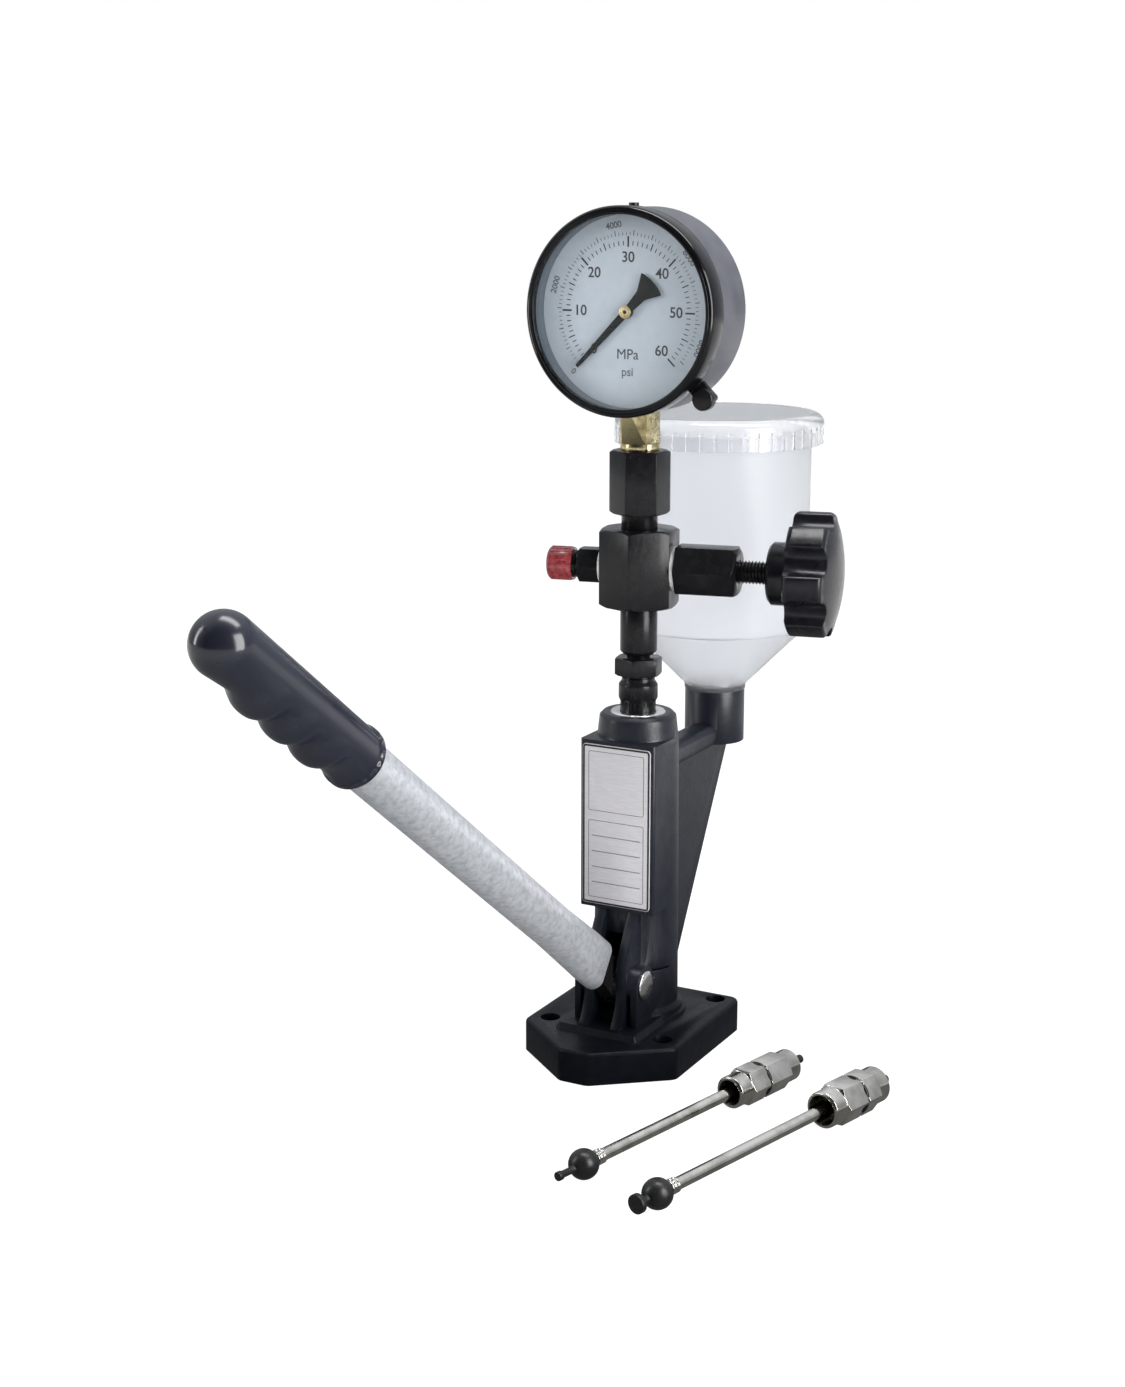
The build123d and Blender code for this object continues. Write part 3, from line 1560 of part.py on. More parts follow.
with BuildPart() as cup_lid:
    with BuildSketch(cup_plane):
        with BuildLine():
            brim = Polyline(
                (cup_rim_radius + open_gap, lid_low),
                (lid_radius, lid_low),
                (lid_radius, lid_high - lid_round),
            )
            shoulder = TangentArc(brim @ 1, (lid_radius - lid_round, lid_high), tangent=(0, 1))
            Polyline(
                shoulder @ 1,
                (0, lid_high),
                (0, lid_high - lid_wall),
                (cup_bore_radius, lid_high - lid_wall),
                (cup_bore_radius, cup_high + open_gap),
                (cup_rim_radius + open_gap, cup_high + open_gap),
                brim @ 0,
            )
        make_face()
    revolve(axis=cup_axis)
    with BuildSketch(Plane.XY.offset(lid_low)):
        with Locations((0, cup_back)):
            with PolarLocations(lid_radius + lid_groove_radius - lid_groove_depth, lid_rib_count):
                Circle(lid_groove_radius)
    extrude(amount=lid_high - lid_round - lid_low, mode=Mode.SUBTRACT)
finish(cup_lid, "cup_lid")


# Two loose delivery pipes on the floor, each with two union nuts and two rubber plugs.
# Each lies on a flat of its nuts, and its pieces follow each other from the tip of the end plug.

pipe_radius = 3.0
olive_radius = 4.6
olive_length = 4.0
ball_radius = 7.3
tip_stem_radius = 1.7
tip_disc_thickness = 2.6
nut_lip = 6.0
nut_collar_length = 9.0
nut_bevel = 1.4
nut_mouth_bevel = 0.8
tail_seat_length = 5.0
tail_stem_radius = 1.4
tail_knob_radius = 2.2
tail_knob_length = 3.0
long_tip_x = 53.1
long_tip_y = -185.8
long_heading_angle = 76.2
long_tip_length = 10.7
long_tip_disc_radius = 2.2
long_bare_length = 101.6
long_open_nut_length = 22.7
long_closed_nut_length = 26.7
long_tail_length = 9.9
long_flats = 17.0
long_thread_radius = 6.5
short_tip_x = 97.6
short_tip_y = -195.6
short_heading_angle = 75.3
short_tip_length = 7.6
short_tip_disc_radius = 4.6
short_bare_length = 115.1
short_open_nut_length = 25.0
short_closed_nut_length = 20.0
short_tail_length = 8.7
short_flats = 19.0
short_thread_radius = 7.6

long_values = (
    long_tip_x,
    long_tip_y,
    long_heading_angle,
    long_tip_length,
    long_tip_disc_radius,
    long_bare_length,
    long_open_nut_length,
    long_closed_nut_length,
    long_tail_length,
    long_flats,
    long_thread_radius,
)
short_values = (
    short_tip_x,
    short_tip_y,
    short_heading_angle,
    short_tip_length,
    short_tip_disc_radius,
    short_bare_length,
    short_open_nut_length,
    short_closed_nut_length,
    short_tail_length,
    short_flats,
    short_thread_radius,
)

for name, values in (("long", long_values), ("short", short_values)):
    tip_x, tip_y, heading_angle, tip_length, disc_radius, bare_length = values[:6]
    open_length, closed_length, tail_length, flats, thread_radius = values[6:]
    heading_cos = cos(radians(heading_angle))
    heading_sin = sin(radians(heading_angle))
    pipe_side = Plane(
        origin=(tip_x, tip_y, flats / 2),
        x_dir=(heading_cos, heading_sin, 0),
        z_dir=(heading_sin, -heading_cos, 0),
    )
    pipe_axis = Axis(pipe_side.origin, pipe_side.x_dir)
    ball_middle = tip_length + ball_radius
    ball_end = ball_middle + ball_radius
    open_start = ball_end + bare_length
    closed_start = open_start + open_length
    mouth = closed_start + closed_length
    olive_start = closed_start + nut_lip + open_gap
    tube_tip = olive_start + olive_length
    tail_tip = mouth + tail_length

    with BuildPart() as pipe:
        with BuildSketch(across(pipe_side, ball_middle)):
            Circle(pipe_radius)
        extrude(amount=olive_start - ball_middle)
        with BuildSketch(pipe_side):
            with BuildLine():
                Polyline(
                    (olive_start, 0),
                    (olive_start, pipe_radius),
                    (olive_start + olive_length / 2, olive_radius),
                    (tube_tip, pipe_radius),
                    (tube_tip, 0),
                    close=True,
                )
            make_face()
        revolve(axis=pipe_axis)
        with BuildSketch(across(pipe_side, ball_middle)):
            Circle(inlet_port_radius)
        extrude(amount=tube_tip - ball_middle, mode=Mode.SUBTRACT)
    finish(pipe, name + "_pipe")

    # The open nut shows its thread to the ball, and the closed nut holds the olive and the tail plug
    for nut_name, start, length, facing_ball in (
        ("_pipe_open_nut", open_start, open_length - open_gap, True),
        ("_pipe_closed_nut", closed_start, closed_length, False),
    ):
        collar_start = start if facing_ball else start + length - nut_collar_length
        bar_start = start + nut_collar_length if facing_ball else start
        bore_start = start if facing_ball else start + nut_lip
        nut_bar = hexagon_bar(
            across(pipe_side, bar_start), flats, length - nut_collar_length, 0, nut_bevel, nut_bevel
        )
        with BuildPart() as pipe_nut:
            add(nut_bar)
            with BuildSketch(across(pipe_side, collar_start)):
                Circle(flats / 2 - open_gap)
            extrude(amount=nut_collar_length)
            rim = pipe_nut.faces().sort_by(pipe_axis)[0 if facing_ball else -1]
            chamfer(rim.edges(), nut_mouth_bevel)
            with BuildSketch(across(pipe_side, bore_start)):
                Circle(thread_radius)
            extrude(amount=length - nut_lip, mode=Mode.SUBTRACT)
            with BuildSketch(across(pipe_side, start)):
                Circle(pipe_radius + running_gap)
            extrude(amount=length, mode=Mode.SUBTRACT)
        finish(pipe_nut, name + nut_name)

    with BuildPart() as end_plug:
        with BuildSketch(across(pipe_side, 0)):
            Circle(disc_radius)
        extrude(amount=tip_disc_thickness)
        with BuildSketch(across(pipe_side, 0)):
            Circle(tip_stem_radius)
        extrude(amount=ball_middle)
        with BuildSketch(pipe_side):
            with BuildLine():
                dome = CenterArc((ball_middle, 0), ball_radius, 0, 180)
                Line(dome @ 0, dome @ 1)
            make_face()
        revolve(axis=pipe_axis)
        with BuildSketch(across(pipe_side, ball_middle)):
            Circle(pipe_radius + running_gap)
        extrude(amount=ball_radius, mode=Mode.SUBTRACT)
    finish(end_plug, name + "_pipe_end_plug")

    with BuildPart() as tail_plug:
        with BuildSketch(across(pipe_side, mouth - tail_seat_length)):
            Circle(thread_radius - running_gap)
        extrude(amount=tail_seat_length)
        with BuildSketch(across(pipe_side, mouth - tail_seat_length)):
            Circle(tail_stem_radius)
        extrude(amount=tail_seat_length + tail_length)
        with BuildSketch(across(pipe_side, tail_tip - tail_knob_length)):
            Circle(tail_knob_radius)
        extrude(amount=tail_knob_length)
    finish(tail_plug, name + "_pipe_tail_plug")
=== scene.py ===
# %% [markdown]
# # Dressing a hand-operated tester for diesel injectors
# The tester is a black casting with a pump column, a long hand lever, a cross block of black
# fittings, a pressure gauge, a shut-off valve with a star knob and a clear fuel cup. Two loose
# delivery pipes lie in front of it. Its solids come from CAD and stay where they are. Here each of
# them gets rounded edges and a finish, and the pieces that need more than that are modelled anew.

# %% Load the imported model
import json
import math
import bpy
from mathutils import Matrix, Vector


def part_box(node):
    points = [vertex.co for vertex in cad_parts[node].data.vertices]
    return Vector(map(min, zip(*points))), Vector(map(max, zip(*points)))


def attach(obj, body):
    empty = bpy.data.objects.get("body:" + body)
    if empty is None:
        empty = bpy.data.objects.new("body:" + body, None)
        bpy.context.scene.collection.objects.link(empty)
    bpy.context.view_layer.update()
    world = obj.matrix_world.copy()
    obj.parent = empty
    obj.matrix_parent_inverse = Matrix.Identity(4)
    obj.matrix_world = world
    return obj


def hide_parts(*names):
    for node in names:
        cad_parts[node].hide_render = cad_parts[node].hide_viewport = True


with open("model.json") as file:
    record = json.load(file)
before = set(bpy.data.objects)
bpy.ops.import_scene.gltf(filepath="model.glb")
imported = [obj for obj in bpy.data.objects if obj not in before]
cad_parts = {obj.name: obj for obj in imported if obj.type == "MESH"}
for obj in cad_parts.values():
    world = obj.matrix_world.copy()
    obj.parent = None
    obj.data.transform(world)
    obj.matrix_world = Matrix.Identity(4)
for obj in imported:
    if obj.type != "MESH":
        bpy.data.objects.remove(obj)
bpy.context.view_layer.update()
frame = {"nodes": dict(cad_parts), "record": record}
record = frame["record"]
slot_of = {entry["node"]: entry["material_slot"] for entry in record["subparts"]}
body_of = {
    node: body for body, members in record["behaviour"]["bodies"].items() for node in members
}

# %% [markdown]
# An operator acts on whatever is selected, and the import leaves every node selected. A helper
# that selects one piece alone therefore comes first.

# %% Select one piece
MM = 0.001


def only(piece):
    """Select one piece and make it the active one."""
    bpy.ops.object.select_all(action="DESELECT")
    piece.select_set(True)
    bpy.context.view_layer.objects.active = piece


bpy.ops.object.select_all(action="DESELECT")
print("selected:", len(bpy.context.selected_objects))

# %% [markdown]
# ## Camera
# The camera was fitted to the photograph: straight edges of the base, the column and the hexagons
# gave its place and its angle of view. It looks down a little, from the front right.

# %% Camera
CAMERA_AZIMUTH = math.radians(28.40)
CAMERA_PITCH = math.radians(13.09)
FOCAL_PIXELS = 2170.7
IMAGE_HEIGHT = 1387
SENSOR = 36.0

bpy.ops.object.camera_add(
    location=(0.4885, -0.9862, 0.4459),
    rotation=(math.pi / 2 - CAMERA_PITCH, 0, CAMERA_AZIMUTH),
)
camera = bpy.context.object
camera.name = "photo_camera"
camera.data.sensor_fit = "VERTICAL"
camera.data.sensor_height = SENSOR
camera.data.lens = FOCAL_PIXELS * SENSOR / IMAGE_HEIGHT
camera.data.clip_start = 0.05
bpy.context.scene.camera = camera
bpy.context.scene.view_settings.view_transform = "Standard"
print("lens:", round(camera.data.lens, 2))

# %% [markdown]
# ## Studio
# Black paint shows its form only by what it reflects, so the object stands in a white room. The
# Light Path node tells which kind of ray asks for a colour, and three helpers build on it: one
# combines two kinds of ray, one maps a value from one range to another, and one mixes two shaders.

# %% Node helpers


def ray_kinds(tree, operation, first, second):
    """Combine two of the Light Path's answers into one factor."""
    rays = tree.nodes.new("ShaderNodeLightPath")
    both = tree.nodes.new("ShaderNodeMath")
    both.operation = operation
    both.use_clamp = True
    tree.links.new(rays.outputs[first], both.inputs[0])
    tree.links.new(rays.outputs[second], both.inputs[1])
    return both.outputs["Value"]


def mapped(tree, source, start, end, low, high, kind="SMOOTHSTEP"):
    """Turn values from start to end into values from low to high."""
    node = tree.nodes.new("ShaderNodeMapRange")
    node.interpolation_type = kind
    node.inputs["From Min"].default_value = start
    node.inputs["From Max"].default_value = end
    node.inputs["To Min"].default_value = low
    node.inputs["To Max"].default_value = high
    tree.links.new(source, node.inputs["Value"])
    return node.outputs["Result"]


def mixed(tree, factor, first, second):
    """Mix two shaders: the first where the factor is 0, the second where it is 1."""
    node = tree.nodes.new("ShaderNodeMixShader")
    tree.links.new(factor, node.inputs["Fac"])
    tree.links.new(first, node.inputs[1])
    tree.links.new(second, node.inputs[2])
    return node.outputs["Shader"]


print("node helpers ready")

# %% [markdown]
# The world is white to the camera and to light that passes through glass, and dimmer to matt
# surfaces. As in a real studio, the side of the room behind the photographer is dark in
# reflections and the ceiling is brightest, so that black paint and bright metal get dark faces
# with light edges. A ray that is refracted by rough plastic also counts as glossy, so only a
# glossy ray that isn't a transmission ray is taken for a reflection.

# %% World
ROOM_GLOW = 0.50
DARK_SIDE = (0.43, -0.87, 0.22)
DARK_SIDE_EDGE = 0.75
DARK_SIDE_GLOW = 0.06
REFLECTED_GLOW = 1.0
REFLECTED_TINT = (0.90, 0.94, 1.0, 1)
LOW_GLOW = 0.5
LOW_EDGE = 0.15
HIGH_EDGE = 0.75
world = bpy.data.worlds.new("white_room")
bpy.context.scene.world = world
world.use_nodes = True
tree = world.node_tree
tree.nodes.clear()
direction = tree.nodes.new("ShaderNodeTexCoord").outputs["Generated"]
towards_dark = tree.nodes.new("ShaderNodeVectorMath")
towards_dark.operation = "DOT_PRODUCT"
towards_dark.inputs[1].default_value = DARK_SIDE
tree.links.new(direction, towards_dark.inputs[0])
parts = tree.nodes.new("ShaderNodeSeparateXYZ")
tree.links.new(direction, parts.inputs["Vector"])
fall = mapped(
    tree, towards_dark.outputs["Value"], 0.0, DARK_SIDE_EDGE, REFLECTED_GLOW, DARK_SIDE_GLOW
)
rise = mapped(tree, parts.outputs["Z"], LOW_EDGE, HIGH_EDGE, LOW_GLOW, 1.0)
strength = tree.nodes.new("ShaderNodeMath")
strength.operation = "MULTIPLY"
tree.links.new(fall, strength.inputs[0])
tree.links.new(rise, strength.inputs[1])
print("glow in reflections:", DARK_SIDE_GLOW, "to", REFLECTED_GLOW)

# %% [markdown]
# Three backgrounds are mixed by the kind of ray: dim for matt surfaces, white for the camera and
# behind clear parts, and the shaded room for reflections.

# %% World mix
dim = tree.nodes.new("ShaderNodeBackground")
dim.inputs["Strength"].default_value = ROOM_GLOW
white = tree.nodes.new("ShaderNodeBackground")
white.inputs["Color"].default_value = (1, 1, 1, 1)
mirrored = tree.nodes.new("ShaderNodeBackground")
mirrored.inputs["Color"].default_value = REFLECTED_TINT
tree.links.new(strength.outputs["Value"], mirrored.inputs["Strength"])
seen = ray_kinds(tree, "MAXIMUM", "Is Camera Ray", "Is Transmission Ray")
reflected = ray_kinds(tree, "SUBTRACT", "Is Glossy Ray", "Is Transmission Ray")
backdrop = mixed(tree, seen, dim.outputs["Background"], white.outputs["Background"])
room = mixed(tree, reflected, backdrop, mirrored.outputs["Background"])
output = tree.nodes.new("ShaderNodeOutputWorld")
tree.links.new(room, output.inputs["Surface"])
print("world glow for matt surfaces:", ROOM_GLOW)

# %% [markdown]
# The floor keeps a soft shadow, because only part of its white is its own glow. In reflections it
# is grey near the object, where a real one lies in shade, and white further off.

# %% Floor
FLOOR_SIZE = 8.0
FLOOR_HEIGHT = -0.0003
FLOOR_COLOR = (0.93, 0.93, 0.93, 1)
FLOOR_SHADOW_SHARE = 0.25
FLOOR_GLOW = 1.22
FLOOR_MIRRORED_NEAR = 0.16
FLOOR_MIRRORED_FAR = 1.0
NEAR = 0.25
FAR = 0.9
bpy.ops.mesh.primitive_plane_add(size=FLOOR_SIZE, location=(0, 0, FLOOR_HEIGHT))
floor = bpy.context.object
floor.name = "floor"
floor_finish = bpy.data.materials.new("pale_floor")
floor_finish.use_nodes = True
floor.data.materials.append(floor_finish)
tree = floor_finish.node_tree
tree.nodes.clear()
seen = ray_kinds(tree, "MAXIMUM", "Is Camera Ray", "Is Transmission Ray")
reflected = ray_kinds(tree, "SUBTRACT", "Is Glossy Ray", "Is Transmission Ray")
place = tree.nodes.new("ShaderNodeTexCoord")
distance = tree.nodes.new("ShaderNodeVectorMath")
distance.operation = "LENGTH"
tree.links.new(place.outputs["Object"], distance.inputs[0])
mirrored = mapped(
    tree,
    distance.outputs["Value"],
    NEAR,
    FAR,
    FLOOR_MIRRORED_NEAR,
    FLOOR_MIRRORED_FAR,
    kind="LINEAR",
)
level = mapped(tree, reflected, 0, 1, FLOOR_GLOW, 1, kind="LINEAR")
tree.links.new(mirrored, level.node.inputs["To Max"])
print("floor glow in reflections:", FLOOR_MIRRORED_NEAR, "to", FLOOR_MIRRORED_FAR)

# %% [markdown]
# The floor's own glow takes the share that its shadow leaves to the camera, and all of it in a
# reflection.

# %% Floor mix
share = tree.nodes.new("ShaderNodeMath")
share.operation = "MULTIPLY_ADD"
share.use_clamp = True
share.inputs[1].default_value = 1 - FLOOR_SHADOW_SHARE
tree.links.new(seen, share.inputs[0])
tree.links.new(reflected, share.inputs[2])
matt = tree.nodes.new("ShaderNodeBsdfDiffuse")
matt.inputs["Color"].default_value = FLOOR_COLOR
glow = tree.nodes.new("ShaderNodeEmission")
tree.links.new(level, glow.inputs["Strength"])
surface = mixed(tree, share.outputs["Value"], matt.outputs["BSDF"], glow.outputs["Emission"])
output = tree.nodes.new("ShaderNodeOutputMaterial")
tree.links.new(surface, output.inputs["Surface"])
print("floor shadow share:", FLOOR_SHADOW_SHARE)

# %% [markdown]
# Three softboxes: a tall one at the right gives the sheen on the right faces of the casting, one
# overhead lights the tops, and a weak one at the left keeps the lever's side open. They are narrow
# enough to leave a clear line of light on gloss.

# %% Lamps
AIM = Vector((0, 0, 0.2))
lamps = (
    ("right_softbox", (1.15, -0.30, 0.55), 0.65, 1.0, 21.0),
    ("top_softbox", (0.2, 0.05, 1.45), 0.40, 1.1, 14.0),
    ("left_softbox", (-1.1, -0.8, 0.7), 0.22, 0.9, 5.0),
)
for name, place, width, height, power in lamps:
    bpy.ops.object.light_add(type="AREA", location=place)
    lamp = bpy.context.object
    lamp.name = name
    lamp.data.shape = "RECTANGLE"
    lamp.data.size = width
    lamp.data.size_y = height
    lamp.data.energy = power
    lamp.rotation_euler = (AIM - Vector(place)).to_track_quat("-Z", "Y").to_euler()
print("lamps:", [lamp[0] for lamp in lamps])

# %% [markdown]
# ## Finishes
# Every finish starts as one shader with its uniform values on its own sockets. Patterns are read
# from Object coordinates, which are metres in the tester's frame, so a noise of scale 500 has
# spots about two millimetres wide. Small helpers add a pattern to a colour, to the roughness or
# to the surface's relief.

# %% Finish helpers
finishes = {}


def new_finish(slot, color, roughness, metallic=0.0, **sockets):
    """Start a finish: one shader whose plain values sit on its own sockets."""
    finish = bpy.data.materials.new(slot)
    finish.use_nodes = True
    shader = finish.node_tree.nodes["Principled BSDF"]
    shader.inputs["Base Color"].default_value = (*color, 1)
    shader.inputs["Roughness"].default_value = roughness
    shader.inputs["Metallic"].default_value = metallic
    for socket, value in sockets.items():
        shader.inputs[socket.replace("_", " ")].default_value = value
    finishes[slot] = finish
    return finish


def pattern(finish, kind, scale, detail=4.0, stretch=(1, 1, 1)):
    """A noise, wave or cell pattern on Object coordinates, optionally stretched."""
    nodes = finish.node_tree.nodes
    links = finish.node_tree.links
    place = nodes.new("ShaderNodeTexCoord")
    shift = nodes.new("ShaderNodeMapping")
    shift.inputs["Scale"].default_value = stretch
    links.new(place.outputs["Object"], shift.inputs["Vector"])
    spots = nodes.new("ShaderNodeTex" + kind)
    spots.inputs["Scale"].default_value = scale
    if "Detail" in spots.inputs:
        spots.inputs["Detail"].default_value = detail
    links.new(shift.outputs["Vector"], spots.inputs["Vector"])
    return spots


def ramped(finish, source, low, high, stops=(0.35, 0.65)):
    """Spread a pattern between two colours."""
    ramp = finish.node_tree.nodes.new("ShaderNodeValToRGB")
    ramp.color_ramp.elements[0].position = stops[0]
    ramp.color_ramp.elements[1].position = stops[1]
    ramp.color_ramp.elements[0].color = (*low, 1)
    ramp.color_ramp.elements[1].color = (*high, 1)
    finish.node_tree.links.new(source, ramp.inputs["Fac"])
    return ramp.outputs["Color"]


def color_pattern(finish, source, low, high, stops=(0.35, 0.65)):
    """Let a pattern vary the finish's colour."""
    shader = finish.node_tree.nodes["Principled BSDF"]
    color = ramped(finish, source, low, high, stops)
    finish.node_tree.links.new(color, shader.inputs["Base Color"])


def roughness_pattern(finish, source, low, high):
    """Let a pattern vary the finish's roughness."""
    tree = finish.node_tree
    roughness = mapped(tree, source, 0.3, 0.7, low, high, kind="LINEAR")
    tree.links.new(roughness, tree.nodes["Principled BSDF"].inputs["Roughness"])


def relief(finish, source, depth, strength=1.0):
    """Let a pattern raise the surface by a depth in metres. A second call adds to the first."""
    nodes = finish.node_tree.nodes
    links = finish.node_tree.links
    normal = nodes["Principled BSDF"].inputs["Normal"]
    bump = nodes.new("ShaderNodeBump")
    bump.inputs["Distance"].default_value = depth
    bump.inputs["Strength"].default_value = strength
    if normal.links:
        links.new(normal.links[0].from_socket, bump.inputs["Normal"])
    links.new(source, bump.inputs["Height"])
    links.new(bump.outputs["Normal"], normal)


print("finish helpers ready")

# %% [markdown]
# **Black casting.** Iron cast in sand, then sprayed black: a satin skin with a slow waviness from
# the mould and a fine orange peel from the gun.

# %% Black casting
casting = new_finish("black_casting", (0.004, 0.005, 0.008), 0.36, Specular_IOR_Level=0.36)
mould = pattern(casting, "Noise", 130, 3)
peel = pattern(casting, "Noise", 900, 2)
color_pattern(casting, mould.outputs["Fac"], (0.005, 0.007, 0.012), (0.009, 0.011, 0.018))
roughness_pattern(casting, peel.outputs["Fac"], 0.29, 0.40)
relief(casting, mould.outputs["Fac"], 0.00035, 0.5)
relief(casting, peel.outputs["Fac"], 0.00006, 0.6)
print(casting.name)

# %% [markdown]
# The casting's colour and its sheen rise with the height above the floor. The colour is darker
# towards the foot and lighter up the column, where the lift is a painted sheen. Both read the
# height from the Object coordinates.

# %% Colour and painted sheen by height
FOOT_TOP = 0.022
COLUMN_LOW = 0.060
tree = casting.node_tree
shader = tree.nodes["Principled BSDF"]
place = tree.nodes.new("ShaderNodeTexCoord")
parts = tree.nodes.new("ShaderNodeSeparateXYZ")
tree.links.new(place.outputs["Object"], parts.inputs["Vector"])
sheen = mapped(tree, parts.outputs["Z"], FOOT_TOP, COLUMN_LOW, 0.10, 0.42)
tree.links.new(sheen, shader.inputs["Specular IOR Level"])
# painted sheen: the casting's colour is darker towards the foot and lighter up the column
painted_sheen_tone = mapped(tree, parts.outputs["Z"], FOOT_TOP, COLUMN_LOW, 0.35, 1.0)
painted_sheen_scale = tree.nodes.new("ShaderNodeVectorMath")
painted_sheen_scale.operation = "SCALE"
tree.links.new(shader.inputs["Base Color"].links[0].from_socket, painted_sheen_scale.inputs[0])
tree.links.new(painted_sheen_tone, painted_sheen_scale.inputs["Scale"])
tree.links.new(painted_sheen_scale.outputs["Vector"], shader.inputs["Base Color"])
print("foot ends at", FOOT_TOP, "and the column starts at", COLUMN_LOW)

# %% [markdown]
# **Blackened steel.** The fittings are turned from bar and blackened in hot salts. The colour is
# deep and slightly blue, with an oily sheen and faint tool marks.

# %% Blackened steel
blackened = new_finish("blackened_steel", (0.006, 0.006, 0.007), 0.22, Specular_IOR_Level=0.26)
cloud = pattern(blackened, "Noise", 220, 4)
grain = pattern(blackened, "Noise", 1500, 2, (1, 1, 0.15))
color_pattern(blackened, cloud.outputs["Fac"], (0.005, 0.005, 0.006), (0.008, 0.008, 0.009))
roughness_pattern(blackened, grain.outputs["Fac"], 0.18, 0.27)
relief(blackened, grain.outputs["Fac"], 0.00003, 0.5)
print(blackened.name)

# %% [markdown]
# **Galvanised tube.** The lever's tube is zinc coated: pale and matt, with darker stains a
# millimetre or two wide where the coating lies thinner, and a fine grit.

# %% Galvanised steel
zinc = new_finish("galvanised_steel", (0.48, 0.50, 0.53), 0.34, 0.6)
stains = pattern(zinc, "Noise", 300, 9)
stains.inputs["Roughness"].default_value = 0.66
grit = pattern(zinc, "Noise", 1700, 3)
color_pattern(zinc, stains.outputs["Fac"], (0.39, 0.41, 0.45), (0.58, 0.60, 0.63), (0.34, 0.58))
roughness_pattern(zinc, stains.outputs["Fac"], 0.42, 0.27)
relief(zinc, stains.outputs["Fac"], 0.00010, 0.4)
relief(zinc, grit.outputs["Fac"], 0.00003, 0.6)
print(zinc.name)

# %% [markdown]
# **Bright and plated steel.** The pin's head and the valve parts are ground, while the pipes and
# their nuts are nickel plated, a little warmer and stained where they were handled.

# %% Bright, plated and spring steel
bright = new_finish("bright_steel", (0.74, 0.73, 0.72), 0.22, 1.0)
grind = pattern(bright, "Noise", 900, 3, (1, 1, 6))
roughness_pattern(bright, grind.outputs["Fac"], 0.16, 0.30)
relief(bright, grind.outputs["Fac"], 0.00002, 0.4)

plated = new_finish("plated_steel", (0.60, 0.58, 0.53), 0.17, 1.0)
handled = pattern(plated, "Noise", 110, 7)
scratches = pattern(plated, "Noise", 1100, 2, (1, 0.2, 1))
color_pattern(plated, handled.outputs["Fac"], (0.50, 0.48, 0.43), (0.70, 0.68, 0.63), (0.36, 0.60))
roughness_pattern(plated, handled.outputs["Fac"], 0.15, 0.08)
relief(plated, scratches.outputs["Fac"], 0.00001, 0.4)

spring = new_finish("spring_steel", (0.40, 0.40, 0.41), 0.32, 1.0)
drawn = pattern(spring, "Noise", 1400, 3)
roughness_pattern(spring, drawn.outputs["Fac"], 0.26, 0.40)
relief(spring, drawn.outputs["Fac"], 0.00002, 0.4)
print(bright.name, plated.name, spring.name)

# %% [markdown]
# **Brass and bronze.** The gauge's socket is plain brass with a light tarnish, and the Bourdon
# tube behind the dial is a redder bronze.

# %% Brass and bronze
brass = new_finish("brass", (0.66, 0.55, 0.30), 0.22, 1.0)
tarnish = pattern(brass, "Noise", 260, 5)
milled = pattern(brass, "Noise", 1500, 2, (1, 1, 0.2))
color_pattern(brass, tarnish.outputs["Fac"], (0.34, 0.28, 0.13), (0.64, 0.55, 0.32))
roughness_pattern(brass, tarnish.outputs["Fac"], 0.32, 0.18)
relief(brass, milled.outputs["Fac"], 0.00003, 0.5)

bronze = new_finish("bronze", (0.66, 0.42, 0.24), 0.3, 1.0)
patina = pattern(bronze, "Noise", 200, 5)
color_pattern(bronze, patina.outputs["Fac"], (0.50, 0.30, 0.16), (0.70, 0.46, 0.27))
print(brass.name, bronze.name)

# %% [markdown]
# **Moulded plastics and rubber.** The grip is a glossy dip-moulded sleeve that mirrors the lamps,
# the knob is a duller moulding, and the plugs of the pipes are soft matt rubber.

# %% Grip, knob, rubber and cap
dipped = new_finish("grip_plastic", (0.011, 0.013, 0.021), 0.17, Specular_IOR_Level=0.50)
swell = pattern(dipped, "Noise", 70, 2)
roughness_pattern(dipped, swell.outputs["Fac"], 0.13, 0.22)
relief(dipped, swell.outputs["Fac"], 0.0001, 0.2)

moulded = new_finish("knob_plastic", (0.005, 0.005, 0.007), 0.24, Specular_IOR_Level=0.34)
flow = pattern(moulded, "Noise", 240, 4)
color_pattern(moulded, flow.outputs["Fac"], (0.004, 0.004, 0.006), (0.007, 0.007, 0.009))
roughness_pattern(moulded, flow.outputs["Fac"], 0.19, 0.28)
relief(moulded, flow.outputs["Fac"], 0.00005, 0.4)

rubber = new_finish("black_rubber", (0.008, 0.008, 0.008), 0.34, Specular_IOR_Level=0.35)
skin = pattern(rubber, "Noise", 700, 4)
roughness_pattern(rubber, skin.outputs["Fac"], 0.26, 0.42)
relief(rubber, skin.outputs["Fac"], 0.00004, 0.5)

red = new_finish("red_plastic", (0.32, 0.022, 0.026), 0.24, Coat_Weight=0.6, Coat_Roughness=0.12)
pull = pattern(red, "Noise", 420, 4)
color_pattern(red, pull.outputs["Fac"], (0.17, 0.016, 0.020), (0.30, 0.045, 0.050))
relief(red, pull.outputs["Fac"], 0.00005, 0.4)
print(dipped.name, moulded.name, rubber.name, red.name)

# %% [markdown]
# ** Washers, seals, label and dial.** The sealing washers are soft aluminium, the seals are nylon
# and the label is a brushed sheet. The gauge's pale dial has a blue-grey colour that is painted
# shade, the wall behind it is painted dark for its shade, and the pointer is a matt black.

# %% Washers, nylon, label and dial
washer = new_finish("washer_aluminium", (0.86, 0.86, 0.85), 0.45, 0.4)
lathe = pattern(washer, "Noise", 900, 3)
roughness_pattern(washer, lathe.outputs["Fac"], 0.38, 0.52)

nylon = new_finish("nylon", (0.80, 0.77, 0.68), 0.5)
cloudy = pattern(nylon, "Noise", 500, 3)
color_pattern(nylon, cloudy.outputs["Fac"], (0.74, 0.71, 0.62), (0.84, 0.81, 0.73))

